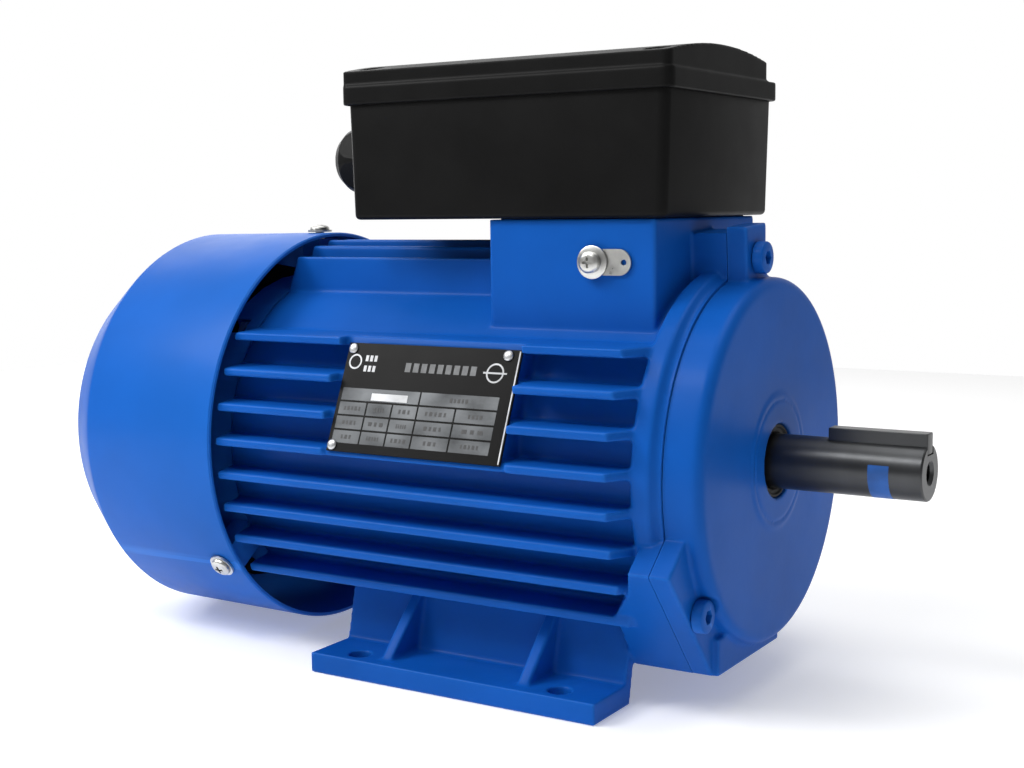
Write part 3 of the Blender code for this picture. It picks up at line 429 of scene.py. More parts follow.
def blue_enamel(name, cast_grain):
    """Blue machine enamel: glossy, slightly uneven, thinner and paler along the edges."""
    material, shader = new_material(name, BLUE, 0.42, shine=0.06)
    links = material.node_tree.links
    cloud = noise(material, 22, 5.0)
    tone = ramp(material, cloud, [
        (0.25, tuple(c * 0.86 for c in BLUE)), (0.75, tuple(c * 1.12 for c in BLUE)),
    ])
    edge = edge_factor(material, 0.52, 0.62)
    worn = blend(material, edge, tone, WORN_BLUE)
    links.new(worn, shader.inputs["Base Color"])
    links.new(spread(material, noise(material, 60, 3.0), 0.36, 0.52), shader.inputs["Roughness"])
    shader.inputs["Coat Weight"].default_value = 0.05
    shader.inputs["Coat Roughness"].default_value = 0.22
    layers = [(noise(material, 900, 2.0), 0.10, 0.05)]
    if cast_grain:
        layers.insert(0, (noise(material, 320, 4.0), 0.35, cast_grain))
    bump(material, shader, layers)
    return material


def moulded_black(name, roughness=0.38, grain=0.05):
    """Satin black moulded plastic with a fine spark-eroded grain."""
    material, shader = new_material(name, (0.008, 0.008, 0.009), roughness, shine=0.06)
    links = material.node_tree.links
    tone = ramp(material, noise(material, 30, 4.0), [
        (0.3, (0.006, 0.006, 0.006)), (0.7, (0.009, 0.009, 0.009)),
    ])
    links.new(tone, shader.inputs["Base Color"])
    rough = spread(material, noise(material, 90, 3.0), roughness - 0.06, roughness + 0.08)
    links.new(rough, shader.inputs["Roughness"])
    bump(material, shader, [(noise(material, 2200, 2.0), 0.25, grain)])
    return material


def metal(name, colour, roughness, scale=140, stretch=(1, 1, 1), grain=0.02, mottle=0.28):
    """Bare or plated metal with a brushed or turned grain and uneven shine."""
    material, shader = new_material(name, colour, roughness, 1.0)
    links = material.node_tree.links
    dark = tuple(c * (1 - mottle) for c in colour)
    light = tuple(min(c * (1 + mottle / 2), 1.0) for c in colour)
    tone = ramp(material, noise(material, scale, 5.0, stretch), [(0.3, dark), (0.7, light)])
    links.new(tone, shader.inputs["Base Color"])
    uneven = noise(material, scale * 2, 4.0, stretch)
    rough = spread(material, uneven, roughness - mottle * 0.35, roughness + mottle * 0.5)
    links.new(rough, shader.inputs["Roughness"])
    bump(material, shader, [(noise(material, scale * 6, 3.0, stretch), 0.3, grain)])
    return material


def soft_rubber(name):
    """Matt black rubber with a faint grain."""
    material, shader = new_material(name, (0.012, 0.012, 0.012), 0.75)
    rough = spread(material, noise(material, 200, 3.0), 0.62, 0.85)
    material.node_tree.links.new(rough, shader.inputs["Roughness"])
    bump(material, shader, [(noise(material, 1500, 2.0), 0.3, 0.04)])
    return material


def dull(name, colour, roughness, scale=120):
    """A plain non-metal with mottled tone, such as phenolic board or varnished wire."""
    material, shader = new_material(name, colour, roughness)
    tone = ramp(material, noise(material, scale, 5.0), [
        (0.3, tuple(c * 0.75 for c in colour)), (0.7, tuple(min(c * 1.2, 1.0) for c in colour)),
    ])
    material.node_tree.links.new(tone, shader.inputs["Base Color"])
    bump(material, shader, [(noise(material, scale * 8, 2.0), 0.3, 0.05)])
    return material


CAST_BLUE = blue_enamel("cast_blue_enamel", 0.12)
SHEET_BLUE = blue_enamel("sheet_blue_enamel", 0.0)
BLACK = moulded_black("satin_black_moulding")
PRINT_BLACK = moulded_black("plate_black_lacquer", 0.3, 0.01)
DARK_STEEL = metal("turned_dark_steel", (0.075, 0.077, 0.08), 0.34, 60, (1, 1, 4), 0.0005, 0.08)
BRIGHT = metal("zinc_plated_steel", (0.62, 0.62, 0.60), 0.3)
PLATE_METAL = metal("plate_bare_metal", (0.10, 0.105, 0.11), 0.42, 90, (1, 3, 1), 0.02, 0.6)
STROKE_GREY = dull("plate_stroke_grey", (0.03, 0.03, 0.032), 0.5)
BAR_GREY = dull("plate_bar_grey", (0.13, 0.135, 0.14), 0.5, 400)
PLATE_LIGHT = dull("plate_light_print", (0.62, 0.63, 0.65), 0.5)
LAMINATION = metal("lamination_steel", (0.20, 0.20, 0.22), 0.5, 200, (40, 1, 1), 0.05)
ALUMINIUM = metal("cast_aluminium", (0.60, 0.61, 0.62), 0.42)
COPPER = metal("enamelled_copper", (0.55, 0.20, 0.07), 0.38, 500, (1, 6, 6), 0.15)
BRASS = metal("terminal_brass", (0.62, 0.44, 0.15), 0.3)
RUBBER = soft_rubber("seal_rubber")
PHENOLIC = dull("board_phenolic", (0.10, 0.045, 0.02), 0.5)
MARK_BLUE = dull("shaft_mark_blue", (0.012, 0.11, 0.42), 0.5)

NODE_MATERIALS = {
    "blue_paint": CAST_BLUE,
    "black_plastic": BLACK,
    "shaft_steel": DARK_STEEL,
    "lamination_steel": LAMINATION,
    "winding_copper": COPPER,
    "cast_aluminium": ALUMINIUM,
    "rivet_aluminium": ALUMINIUM,
    "plated_steel": BRIGHT,
    "sealing_rubber": RUBBER,
    "terminal_brass": BRASS,
    "board_phenolic": PHENOLIC,
    "label_plate": PRINT_BLACK,
}


def dress_nodes():
    """Gives every CAD node the material of its slot in the record."""
    for part in frame["record"]["subparts"]:
        node = frame["nodes"][part["node"]]
        material = NODE_MATERIALS[part["material_slot"]]
        if not node.material_slots:
            node.data.materials.append(material)
        for place in node.material_slots:
            place.link = "OBJECT"
            place.material = material


def settle_piece(obj, material, nodes=(), body="housing"):
    """A finished piece: its material, the body it rides on, and the CAD nodes it stands for."""
    obj.data.materials.clear()
    obj.data.materials.append(material)
    if nodes:
        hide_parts(*nodes)
    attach(obj, body)


# ---------------------------------------------------------------- castings


def lug_blocks(owner, start, end, tall):
    """The bolt lugs at the drive end: two narrow ones, and a broad one low on the near side."""
    top, far, low = LUG_ANGLES
    far_width, far_outer = FAR_LUG
    width, outer = LOW_LUG
    blocks = [
        radial_block(f"{owner}_top_lug", top, LUG_ROOT, tall, TOP_LUG_WIDTH, start, end),
        radial_block(f"{owner}_far_lug", far, LUG_ROOT, far_outer, far_width, start, end),
    ]
    if owner == "shield":
        return blocks + [radial_block("shield_low_lug", low, LUG_ROOT, outer, width, start, end)]
    half = width / 2
    outline = [
        (end, half), (start + 6.5, half), (start + 2.9, 14.7), (start - 6.2, 1.3),
        (start - 8.2, -half), (end, -half),
    ]
    broad = prism("body_low_lug", outline, -outer, -LUG_ROOT, "Y")
    broad.location = (0, 0, SHAFT_HEIGHT * MM)
    broad.rotation_euler = (math.radians(low - 180.0), 0, 0)
    return blocks + [broad]


def bolt_points():
    """Where the shield's bolts are, as (y, z)."""
    return [around(a, r) for a, r in zip(LUG_ANGLES, BOLT_CIRCLE)]


def side_fins():
    """Level fins, each one running right through from side to side."""
    tip = 1.5
    root = 2.5
    fins = []
    for index in range(FIN_COUNT):
        height = FIN_TOP - FIN_STEP * index
        reach = math.sqrt(FIN_RADIUS**2 - height**2)
        z = SHAFT_HEIGHT + height
        outline = [
            (-reach, z + tip), (-reach, z - tip), (0, z - root),
            (reach, z - tip), (reach, z + tip), (0, z + root),
        ]
        fins.append(prism(f"side_fin_{index}", outline, FRAME_REAR, FIN_FRONT))
    return fins


def top_fins():
    """Upright fins along the top, as far as the pedestal."""
    fins = []
    for index in range(TOP_FIN_COUNT):
        y = (index - (TOP_FIN_COUNT - 1) / 2) * TOP_FIN_STEP
        tip = SHAFT_HEIGHT + TOP_FIN_CROWN - TOP_FIN_FALL * y**2
        root = SHAFT_HEIGHT + BODY_RADIUS - 8.0
        outline = [(y - 2.5, root), (y + 2.5, root), (y + 1.5, tip), (y - 1.5, tip)]
        fins.append(prism(f"top_fin_{index}", outline, FRAME_REAR, PEDESTAL[0][0] + 3.0))
    return fins


def fin_cluster():
    """All the fins on a core, with both their ends sloped back from root to tip."""
    low = FRAME_REAR + 1.0
    high = FIN_FRONT - 1.0
    core = [(0, high), (60.0, high), (60.0, low), (0, low)]
    cluster = turned("fin_cluster", core)
    root = BODY_RADIUS + 0.5
    slopes = []
    for name, end, back in (("rear", FRAME_REAR, 5.0), ("front", FIN_FRONT, -7.5)):
        past = end - back / 5
        ring = [(root, past), (root, end), (root + 14.0, end + back), (90.0, end + 1.8 * back)]
        slopes.append(turned(f"{name}_fin_slope", ring + [(90.0, past)]))
    carve(cluster, side_fins() + top_fins(), slopes)
    return cluster


def feet():
    """Both feet: a pad, a leaning web and two gussets each."""
    pieces = []
    low = FOOT_CENTRE - PAD_LENGTH / 2
    high = FOOT_CENTRE + PAD_LENGTH / 2
    for side, sign in (("near", -1), ("far", 1)):
        inner = sign * PAD_INNER
        outer = sign * PAD_OUTER
        web = sign * (PAD_INNER + WEB)
        pieces.append(block(
            f"{side}_pad", (low, min(inner, outer), 0), (high, max(inner, outer), PAD_HEIGHT)
        ))
        lean = -sign * WEB_LEAN
        leg = [(inner, 1), (web, 1), (web, 5), (web + lean, WEB_TOP), (inner + lean, WEB_TOP)]
        pieces.append(prism(f"{side}_web", leg, low, high))
        for end in (-1, 1):
            x = FOOT_CENTRE + end * GUSSET_SPREAD
            outline = [
                (web + lean / 2, PAD_HEIGHT - 1), (sign * 65.5, PAD_HEIGHT - 1),
                (sign * 65.5, PAD_HEIGHT), (web + lean / 2, 29.0), (web + lean, 29.0),
            ]
            pieces.append(prism(f"{side}_gusset_{end}", outline, x - 2.2, x + 2.2))
    return pieces


def plate_block(name, depth_out, depth_in, width, height, centre=(0.0, 0.0)):
    """A block along the nameplate's face; centre is (across, up) on that face."""
    obj = block(name, (-width / 2, -depth_out, -height / 2), (width / 2, depth_in, height / 2))
    turn = Matrix.Rotation(-PLATE_LEAN, 3, "X")
    offset = turn @ Vector((centre[0], (depth_in - depth_out) / 2, centre[1]))
    obj.rotation_euler = (-PLATE_LEAN, 0, 0)
    obj.location = at(*(Vector((PLATE_X, *PLATE_MIDDLE)) + offset))
    return obj


JOINT_SPARE = 3.0  # extra length that is cast past the joint face and then machined off


def make_body_casting():
    """The finned body with its feet and pedestal, cast in one and machined at the joint."""
    past = FRAME_FRONT + JOINT_SPARE
    profile = [
        (0, past), (64.3, past), (64.3, FRAME_FRONT), (64.6, 89.4), (66.4, 88.2), (66.7, 87.4),
        (66.7, 82.0), (65.0, 80.8), (BODY_RADIUS, 80.0), (BODY_RADIUS, FRAME_REAR),
        (0, FRAME_REAR),
    ]
    body = turned("body_casting", profile, steps=144)
    (left, near), (right, far) = PEDESTAL
    ribs = [
        block(f"plate_rib_{i}", (x - 3.5, -72, 84), (x + 3.5, -40, 120))
        for i, x in enumerate((PLATE_X - 32.0, PLATE_X + 32.0))
    ]
    solids = [fin_cluster()] + feet() + ribs
    solids.append(block("pedestal", (left, near, 118), (right, far, PEDESTAL_TOP)))
    solids += lug_blocks("body", 77.5, past, 79.6)
    solids.append(block("body_pad", (69.3, -40, 13.2), (past, 12, 26)))
    centre = (0, 0, SHAFT_HEIGHT)
    cuts = [
        rod("bore", BORE_RADIUS, -120, 120, centre, (1, 0, 0), 96),
        rod("front_register", SPIGOT_RADIUS, 87.5, 120, centre, (1, 0, 0), 96),
        rod("rear_register", SPIGOT_RADIUS, -120, -85.5, centre, (1, 0, 0), 96),
        plate_block("plate_seat", 20, PLATE_SIZE[2] + 0.5, 76.0, 46.0),
        block("pedestal_pocket", (26, -28, 150), (65, 28, 170), 4),
        block(
            "gasket_seat", (left + SEAT_RIM, near + SEAT_RIM, PEDESTAL_TOP - SEAT_DEPTH),
            (right - SEAT_RIM, far - SEAT_RIM, 170),
        ),
        block("wire_passage", (32, -14, 100), (59, 14, 155)),
        rod("earth_hole", 2.0, -20, 5, (EARTH_X, near, EARTH_Z), (0, -1, 0)),
    ]
    for x in (-1, 1):
        for y in (-1, 1):
            centre = (FOOT_CENTRE + x * FOOT_PITCH_X / 2, y * FOOT_PITCH_Y / 2, 0)
            cuts.append(rod(f"foot_hole_{x}_{y}", FOOT_HOLE, -5, 20, centre, (0, 0, 1)))
    for i, (y, z) in enumerate(bolt_points()):
        cuts.append(rod(f"bolt_hole_{i}", BOLT_HOLE, 74, 100, (0, y, z), (1, 0, 0), 24))
    cuts += uprights("box_hole", BOX_SCREWS, 2.6, 150, 170)
    carve(body, solids, cuts)
    cast(body, 0.75, 2)
    faced(body, FRAME_FRONT, 1)
    settle_piece(body, CAST_BLUE, ["frame"])


def make_shield_casting():
    """The drive-end cover; its spigot and bearing housing are turned rings behind the joint."""
    ring = SHIELD_FACE + 0.6
    joint = FRAME_FRONT + GAP
    back = joint - JOINT_SPARE
    profile = [(22.0, ring), (23.4, ring - 0.2), (24.2, SHIELD_FACE + 0.1), (59.4, SHIELD_FACE)]
    profile += arc((59.9, 101.0), 3.6, 80, 0, 6)
    profile += [
        (63.5, back), (51.0, back), (51.0, 97.0), (48.0, 99.6), (31.5, 99.6), (29.5, 97.5),
        (29.5, back), (23.8, back), (23.8, 101.0), (13.0, 101.0), (13.0, ring), (20.6, ring),
        (20.9, ring - 0.5), (21.7, ring - 0.5),
    ]
    shield = turned("drive_shield_casting", profile, steps=144)
    solids = lug_blocks("shield", back, LUG_FACE, 81.6)
    solids.append(block("shield_pad", (back, -40, 13.2), (100.5, 12, 26)))
    solids.append(radial_block("ear", 18.0, 55.0, 76.0, 10.0, back, 97.0))
    rooms = [turned("shield_room", [(29.6, 98.0), (50.5, 98.0), (50.5, 70.0), (29.6, 70.0)])]
    for i, (y, z) in enumerate(bolt_points()):
        hole = [
            (0, 120), (6.4, 120), (6.4, LUG_FACE), (BOLT_HOLE, LUG_FACE), (BOLT_HOLE, 80), (0, 80),
        ]
        rooms.append(turned(f"shield_hole_{i}", hole, (0, y, z), steps=32))
    carve(shield, solids, rooms)
    cast(shield, 0.7, 2)
    faced(shield, joint, -1)
    rings = [
        turned("spigot", [(SPIGOT_RADIUS - GAP, joint), (SPIGOT_RADIUS - GAP, 88.0),
                          (51.0, 88.0), (51.0, joint)]),
        turned("bearing_housing", [(29.5, joint), (29.5, 84.0), (23.8, 84.0), (23.8, joint)]),
    ]
    bm = bmesh.new()
    for piece in [shield, *rings]:
        bm.from_mesh(piece.data)
    bm.to_mesh(shield.data)
    bm.free()
    for piece in rings:
        bpy.data.objects.remove(piece, do_unlink=True)
    settle_piece(shield, CAST_BLUE, ["drive_end_shield"])


# ---------------------------------------------------------------- cowl


def make_cowl():
    """The pressed cup over the fan: a drawn wall with a rolled front edge and a slotted rear."""
    outside = [
        (COWL_RADIUS - 0.5, COWL_EDGE), (COWL_RADIUS, COWL_EDGE - 0.6),
        (COWL_RADIUS - 0.6, COWL_SHOULDER), (COWL_RADIUS - 1.1, COWL_SHOULDER - 1.2),
        (COWL_RADIUS - 2.2, COWL_SHOULDER - 3.0), (COWL_REAR_RADIUS + 1.0, REAR_END + 1.6),
        (COWL_REAR_RADIUS - 0.6, REAR_END + 0.4), (COWL_REAR_RADIUS - 3.0, REAR_END),
    ]
    inside = [(COWL_RADIUS - SHEET, COWL_EDGE)]
    inside += [(radius - SHEET, station + SHEET * 0.7) for radius, station in outside[2:-1]]
    inside.append((COWL_REAR_RADIUS - 3.6, REAR_END + SHEET))
    profile = [(0, REAR_END + SHEET)] + inside[::-1] + outside + [(0, REAR_END)]
    cowl = turned("cowl_pressing", profile, steps=160)
    cuts = []
    pitch = 11.0
    half_slot = 3.0
    rows = 5
    field = 57.0  # radius of the slotted area
    hub = 12.0  # radius of the plain middle
    half_bar = 3.0  # of the upright bar through the middle
    for row in range(-rows, rows + 1):
        height = row * pitch
        reach = math.sqrt(field**2 - height**2)
        start = max(half_bar, math.sqrt(max(hub**2 - height**2, 0)))
        for sign in (-1, 1):
            low, high = sorted((sign * start, sign * reach))
            z = SHAFT_HEIGHT + height
            outline = arc((high - half_slot, z), half_slot, -90, 90, 8)
            outline += arc((low + half_slot, z), half_slot, 90, 270, 8)
            cuts.append(prism(f"slot_{row}_{sign}", outline, REAR_END - 5, REAR_END + 5))
    for i, angle in enumerate(COWL_SCREW_ANGLES):
        turn = math.radians(angle)
        out = (0, math.cos(turn), math.sin(turn))
        hole = rod(f"cowl_hole_{i}", 2.3, 70, 90, (COWL_SCREW_X, 0, SHAFT_HEIGHT), out, 24)
        cuts.append(hole)
    carve(cowl, (), cuts)
    smooth(cowl, 30)
    settle_piece(cowl, SHEET_BLUE, ["fan_cowl"])


# ---------------------------------------------------------------- terminal box


def make_box_gasket():
    """The gasket with the box screwed down on it: it fills its seat up to the box's floor."""
    low, high = [Vector(corner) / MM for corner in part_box("box_gasket")]
    low.x -= SHIFT
    high.x -= SHIFT
    high.z = BOX_LOW[2] - 0.02
    gasket = block("pressed_gasket", low, high)
    holes = uprights("gasket_hole", BOX_SCREWS, FLOOR_HOLE, 150, 180)
    carve(gasket, (), holes + [block("gasket_room", (29, -27, 150), (62, 27, 180), 4)])
    settle_piece(gasket, RUBBER, ["box_gasket"])


BOX_DRAFT = 0.5  # the end walls' lean outwards, as a share of the box's length per metre of height


def make_box_housing():
    """The moulded box, with its lid's screw posts and the way in for the wires and the gland."""
    low = Vector(BOX_LOW)
    high = Vector(BOX_HIGH)
    wall = Vector((BOX_WALL, BOX_WALL, BOX_WALL))
    housing = block("box_housing", low, high, 3.5, 1.8, 5)
    room = block("box_room", low + wall, high + Vector((-BOX_WALL, -BOX_WALL, 10)), 2.0)
    posts = uprights("post", LID_SCREWS, 4.2, BOX_LOW[2] + 1, 209.0, 32)
    holes = uprights("post_hole", LID_SCREWS, 1.9, 185, 230)
    holes += uprights("floor_hole", BOX_SCREWS, FLOOR_HOLE, 150, 180)
    holes.append(block("wire_entry", (29, -25, 150), (62, 1, 180), 4))
    holes.append(rod("gland_hole", 8.4, -10, 10, (BOX_LOW[0], GLAND_Y, GLAND_Z), (1, 0, 0)))
    carve(housing, (), [room])
    for vertex in housing.data.vertices:
        vertex.co.x *= 1 + BOX_DRAFT * vertex.co.z
    carve(housing, posts, holes)
    smooth(housing, 40)
    settle_piece(housing, BLACK, ["terminal_box"])


LID_RIM_LOW = 205.8
LID_RIM_TOP = 212.6
LID_SHOULDER = 217.6
LID_CROWN = 222.6
LID_X = (-47.9, 85.5)
LID_HALF = 45.4
DOME_Y = (-44.6, 37.8)  # the raised middle stops short of the far rim
DOME_X = (LID_X[0] + 0.2, LID_X[1] - 0.8)


def make_box_cover():
    """The crowned lid: a skirt with a step above it, and screw wells in its corners."""
    near, far = DOME_Y
    steps = 24
    crown = []
    for i in range(steps + 1):
        y = far + (near - far) * i / steps
        crown.append((y, LID_CROWN - (LID_CROWN - LID_SHOULDER) * (y / LID_HALF) ** 2))
    outline = [(far, LID_RIM_TOP - 1)] + crown + [(near, LID_RIM_TOP - 1)]
    cover = block(
        "box_cover", (LID_X[0], -LID_HALF, LID_RIM_LOW), (LID_X[1], LID_HALF, LID_RIM_TOP), 3.5,
    )
    dome = prism("lid_dome", outline, *DOME_X)
    corners = block("lid_corners", (DOME_X[0], near, 200), (DOME_X[1], far, 230), 2.5)
    combine(dome, [corners], "INTERSECT")
    settle(dome, [corners])
    rooms = [
        block("lid_rim_room", (LID_X[0] + 1.5, -44.1, 200), (83.9, 44.1, 211.6), 3.0),
        block("lid_room", (-42.0, -40.8, 205), (80.0, 34.5, 214.9), 2.0),
    ]
    rooms += uprights("lid_hole", LID_SCREWS, 2.1, 200, 240)
    rooms += uprights("lid_well", LID_SCREWS, 4.2, 216.0, 240, 40)
    carve(cover, [dome], rooms)
    cast(cover, 0.5, 2)
    settle_piece(cover, BLACK, ["box_lid"])


def make_gland():
    """The cable gland: its body's hexagon and thin flange at the wall, and the dome nut."""
    wall = BOX_LOW[0]
    centre = (0, GLAND_Y, GLAND_Z)
    corner = GLAND_FLATS / math.sqrt(3)
    body = turned(
        "gland_stem", [(9.5, wall - 14), (9.5, wall - 3), (8.1, wall - 2), (8.1, wall + 9),
                       (6.4, wall + 9), (6.4, wall - 14)], centre, steps=64,
    )
    solids = [
        rod("gland_hexagon", corner, wall - 5.3, wall - 0.9, centre, (1, 0, 0), 6),
        rod("gland_flange", corner, wall - 1.3, wall - GAP, centre, (1, 0, 0), 64),
    ]
    carve(body, solids, [rod("gland_bore", 6.4, wall - 30, wall + 20, centre, (1, 0, 0), 64)])
    crisp(body, 0.2)
    settle_piece(body, BLACK, ["gland_body"])
    nut = rod("gland_dome_nut", corner, wall - 24.0, wall - 5.8, centre, (1, 0, 0), 6)
    outside = turned(
        "nut_dome", [(0, wall - 5), (14.2, wall - 5), (13.2, wall - 17), (12.2, wall - 20.5),
                     (10.0, wall - 23.4), (9.0, wall - 25), (0, wall - 25)], centre,
    )
    combine(nut, [outside], "INTERSECT")
    settle(nut, [outside])
    inside = turned(
        "nut_room", [(0, wall), (9.9, wall), (9.9, wall - 19), (5.6, wall - 20.4),
                     (5.6, wall - 30), (0, wall - 30)], centre,
    )
    carve(nut, (), [inside])
    cast(nut, 0.35, 2)
    settle_piece(nut, BLACK, ["gland_nut"])


# ---------------------------------------------------------------- shaft


KEY_START = 123.7


def make_shaft():
    """The turned shaft with its clip groove, centre hole and keyway, and the key."""
    profile = [
        (0, SHAFT_END), (8.9, SHAFT_END), (9.3, SHAFT_END - 0.2), (9.5, SHAFT_END - 0.6),
        (9.5, 101.0), (10.0, 100.6), (10.0, 86.2), (12.5, 86.2), (12.5, 62.0), (13.0, 62.0),
        (13.0, -62.0), (11.5, -62.0), (11.5, -93.7), (8.5, -93.7), (8.5, -108.0),
        (8.0, -108.4), (8.0, -142.5), (7.4, -143.2), (0, -143.2),
    ]
    shaft = turned("turned_shaft", profile, steps=128)
    groove = turned("clip_groove", [(20, -139.0), (20, -140.2), (7.4, -140.2), (7.4, -139.0)])
    centre_hole = turned(
        "centre_hole", [(0, SHAFT_END + 2), (6.2, SHAFT_END + 2), (3.5, SHAFT_END - 0.8),
                        (3.3, SHAFT_END - 1.1), (3.3, SHAFT_END - 14), (0, SHAFT_END - 16)],
        steps=48,
    )
    keyway = block(
        "keyway", (KEY_START - 0.3, -3.3, SHAFT_HEIGHT + 6.0),
        (SHAFT_END + 5, 3.3, SHAFT_HEIGHT + 20),
    )
    carve(shaft, (), [groove, centre_hole, keyway])
    smooth(shaft, 25)
    settle_piece(shaft, DARK_STEEL, ["shaft"], "rotor")
    key = block(
        "feather_key", (KEY_START, -3.0, SHAFT_HEIGHT + 6.3),
        (SHAFT_END - 0.1, 3.0, SHAFT_HEIGHT + 13.3), 0.5,
    )
    crisp(key, 0.35, 3)
    settle_piece(key, DARK_STEEL, ["shaft_key"], "rotor")


def make_shaft_mark():
    """A painted inspection mark: a thin film on the shaft's near side."""
    film = 0.06
    outer = arc((0, SHAFT_HEIGHT), 9.5 + film, 163, 262, 24)
    inner = arc((0, SHAFT_HEIGHT), 9.5 + film * 0.3, 262, 163, 24)
    mark = prism("shaft_paint_mark", outer + inner, 139.6, 146.6)
    smooth(mark, 40)
    settle_piece(mark, MARK_BLUE, (), "rotor")


def make_seal():
    """The seal's lip ring in the shield's bore."""
    seal = turned(
        "lip_seal",
        [(12.6, 104.3), (12.6, 101.3), (11.6, 101.2), (9.8, 102.2), (9.75, 102.6), (10.4, 103.4),
         (11.4, 103.6), (11.9, 104.3)], steps=96,
    )
    smooth(seal, 30)
    settle_piece(seal, RUBBER, ["shaft_seal"])


# ---------------------------------------------------------------- fasteners


def cross_recess(name, size, depth, top, centre, direction):
    """The two crossed slots of a driver recess, as cutters."""
    turn = Vector(direction).to_track_quat("Z", "Y").to_matrix()
    cutters = []
    for i, (wide, deep) in enumerate(((size, size / 4), (size / 4, size))):
        low = (-wide / 2, -deep / 2, top - depth)
        bar = block(f"{name}_{i}", low, (wide / 2, deep / 2, top + 2))
        offset = turn @ Vector((0, 0, top + 1 - depth / 2))
        bar.rotation_euler = turn.to_euler()
        bar.location = at(*(Vector(centre) + offset))
        cutters.append(bar)
    return cutters


def dome(radius, start, rise, count=6):
    """The profile of a low dome, from its middle down to its rim."""
    turns = [math.pi / 2 * (1 - i / count) for i in range(count + 1)]
    return [(radius * math.cos(t), start + rise * math.sin(t)) for t in turns]


def make_cowl_screws():
    """Cross-recess pan-head screws, each with its washer."""
    for i, angle in enumerate(COWL_SCREW_ANGLES):
        turn = math.radians(angle)
        out = (0, math.cos(turn), math.sin(turn))
        y, z = around(angle, COWL_RADIUS + 0.3)
        centre = (COWL_SCREW_X, y, z)
        profile = dome(3.9, 1.6, 1.3) + [
            (4.0, 1.0), (3.6, 0.9), (5.0, 0.8), (5.0, 0), (1.8, 0), (1.8, -14), (0, -14),
        ]
        screw = turned(f"cowl_pan_screw_{i + 1}", profile, centre, out, 48)
        carve(screw, (), cross_recess(f"recess_{i}", 3.6, 1.3, 2.9, centre, out))
        smooth(screw, 35)
        settle_piece(screw, BRIGHT, [f"cowl_screw_{i + 1}"])


def make_shield_bolts():
    """Socket-head bolts, painted over with the motor."""
    for i, (y, z) in enumerate(bolt_points()):
        centre = (LUG_FACE + 0.3, y, z)
        profile = [
            (0, 3.8), (4.6, 3.8), (5.3, 3.5), (5.5, 3.0), (5.5, 0), (2.3, 0), (2.3, -22), (0, -22),
        ]
        bolt = turned(f"socket_bolt_{i + 1}", profile, centre, (1, 0, 0), 48)
        socket = rod(f"socket_{i}", 2.5, 1.2, 8, centre, (1, 0, 0), 6)
        carve(bolt, (), [socket])
        crisp(bolt, 0.2)
        settle_piece(bolt, CAST_BLUE, [f"shield_bolt_{i + 1}"])


def make_lid_screws():
    """Cross-recess screws, sunk in the lid's wells."""
    for i, (x, y) in enumerate(LID_SCREWS):
        centre = (x, y, 216.3)
        profile = dome(3.6, 1.2, 1.2) + [(3.6, 0), (1.5, 0), (1.5, -18), (0, -18)]
        screw = turned(f"cover_screw_{i + 1}", profile, centre, (0, 0, 1), 40)
        carve(screw, (), cross_recess(f"lid_recess_{i}", 3.4, 1.2, 2.4, centre, (0, 0, 1)))
        smooth(screw, 35)
        settle_piece(screw, BRIGHT, [f"lid_screw_{i + 1}"])


def make_earth_terminal():
    """The earth tag under its washer and bolt, on the pedestal's near face."""
    near = PEDESTAL[0][1]
    tag_end = EARTH_X + 14.2
    half = 4.4
    outline = arc((tag_end - half, EARTH_Z), half, 90, -90, 24)
    outline += arc((EARTH_X, EARTH_Z), half, 270, 90, 24)
    tag = prism("earthing_tag", outline, near - 0.3, near - 1.1, "Y")
    carve(tag, (), [
        rod("tag_hole", 2.1, -5, 5, (EARTH_X, near, EARTH_Z), (0, -1, 0), 32),
        rod("tag_wire_hole", 1.0, -5, 5, (tag_end - 2.6, near, EARTH_Z), (0, -1, 0), 32),
    ])
    crisp(tag, 0.12)
    settle_piece(tag, BRIGHT, ["earth_tag"])
    washer = turned(
        "spring_washer", [(5.2, 2.2), (5.6, 2.0), (5.6, 1.6), (5.2, 1.4), (2.1, 1.4), (2.1, 2.2)],
        (EARTH_X, near, EARTH_Z), (0, -1, 0), 64,
    )
    smooth(washer, 30)
    settle_piece(washer, BRIGHT, ["earth_washer"])
    seat = (EARTH_X, near - 2.5, EARTH_Z)
    head = dome(3.3, 2.2, 0.6, 4) + [
        (3.6, 2.0), (3.6, 0.2), (3.4, 0), (1.5, 0), (1.5, -17), (0, -17),
    ]
    bolt = turned("earthing_bolt", head, seat, (0, -1, 0), 48)
    carve(bolt, (), cross_recess("earth_recess", 3.6, 1.2, 2.8, seat, (0, -1, 0)))
    smooth(bolt, 35)
    settle_piece(bolt, BRIGHT, ["earth_bolt"])


# ---------------------------------------------------------------- nameplate


def plate_normal():
    """The way out from the nameplate's face."""
    return (0, -math.cos(PLATE_LEAN), math.sin(PLATE_LEAN))


def rivet_points():
    """The plate's three rivets; the lower right corner has none."""
    upright = Vector((0, math.sin(PLATE_LEAN), math.cos(PLATE_LEAN)))
    middle = Vector((PLATE_X, *PLATE_MIDDLE))
    left = -PLATE_SIZE[0] / 2 + 2.2
    right = PLATE_SIZE[0] / 2 - 5.0
    edge = PLATE_SIZE[1] / 2 - 2.2
    return [
        middle + Vector((across, 0, 0)) + upright * up
        for across, up in ((left, edge), (left, -edge), (right, edge))
    ]


def joined(name, pieces):
    """Several loose shapes as one object, as print on a plate is."""
    bm = bmesh.new()
    for piece in pieces:
        piece.data.transform(Matrix.LocRotScale(piece.location, piece.rotation_euler, None))
        bm.from_mesh(piece.data)
        bpy.data.objects.remove(piece, do_unlink=True)
    return from_bmesh(name, bm)


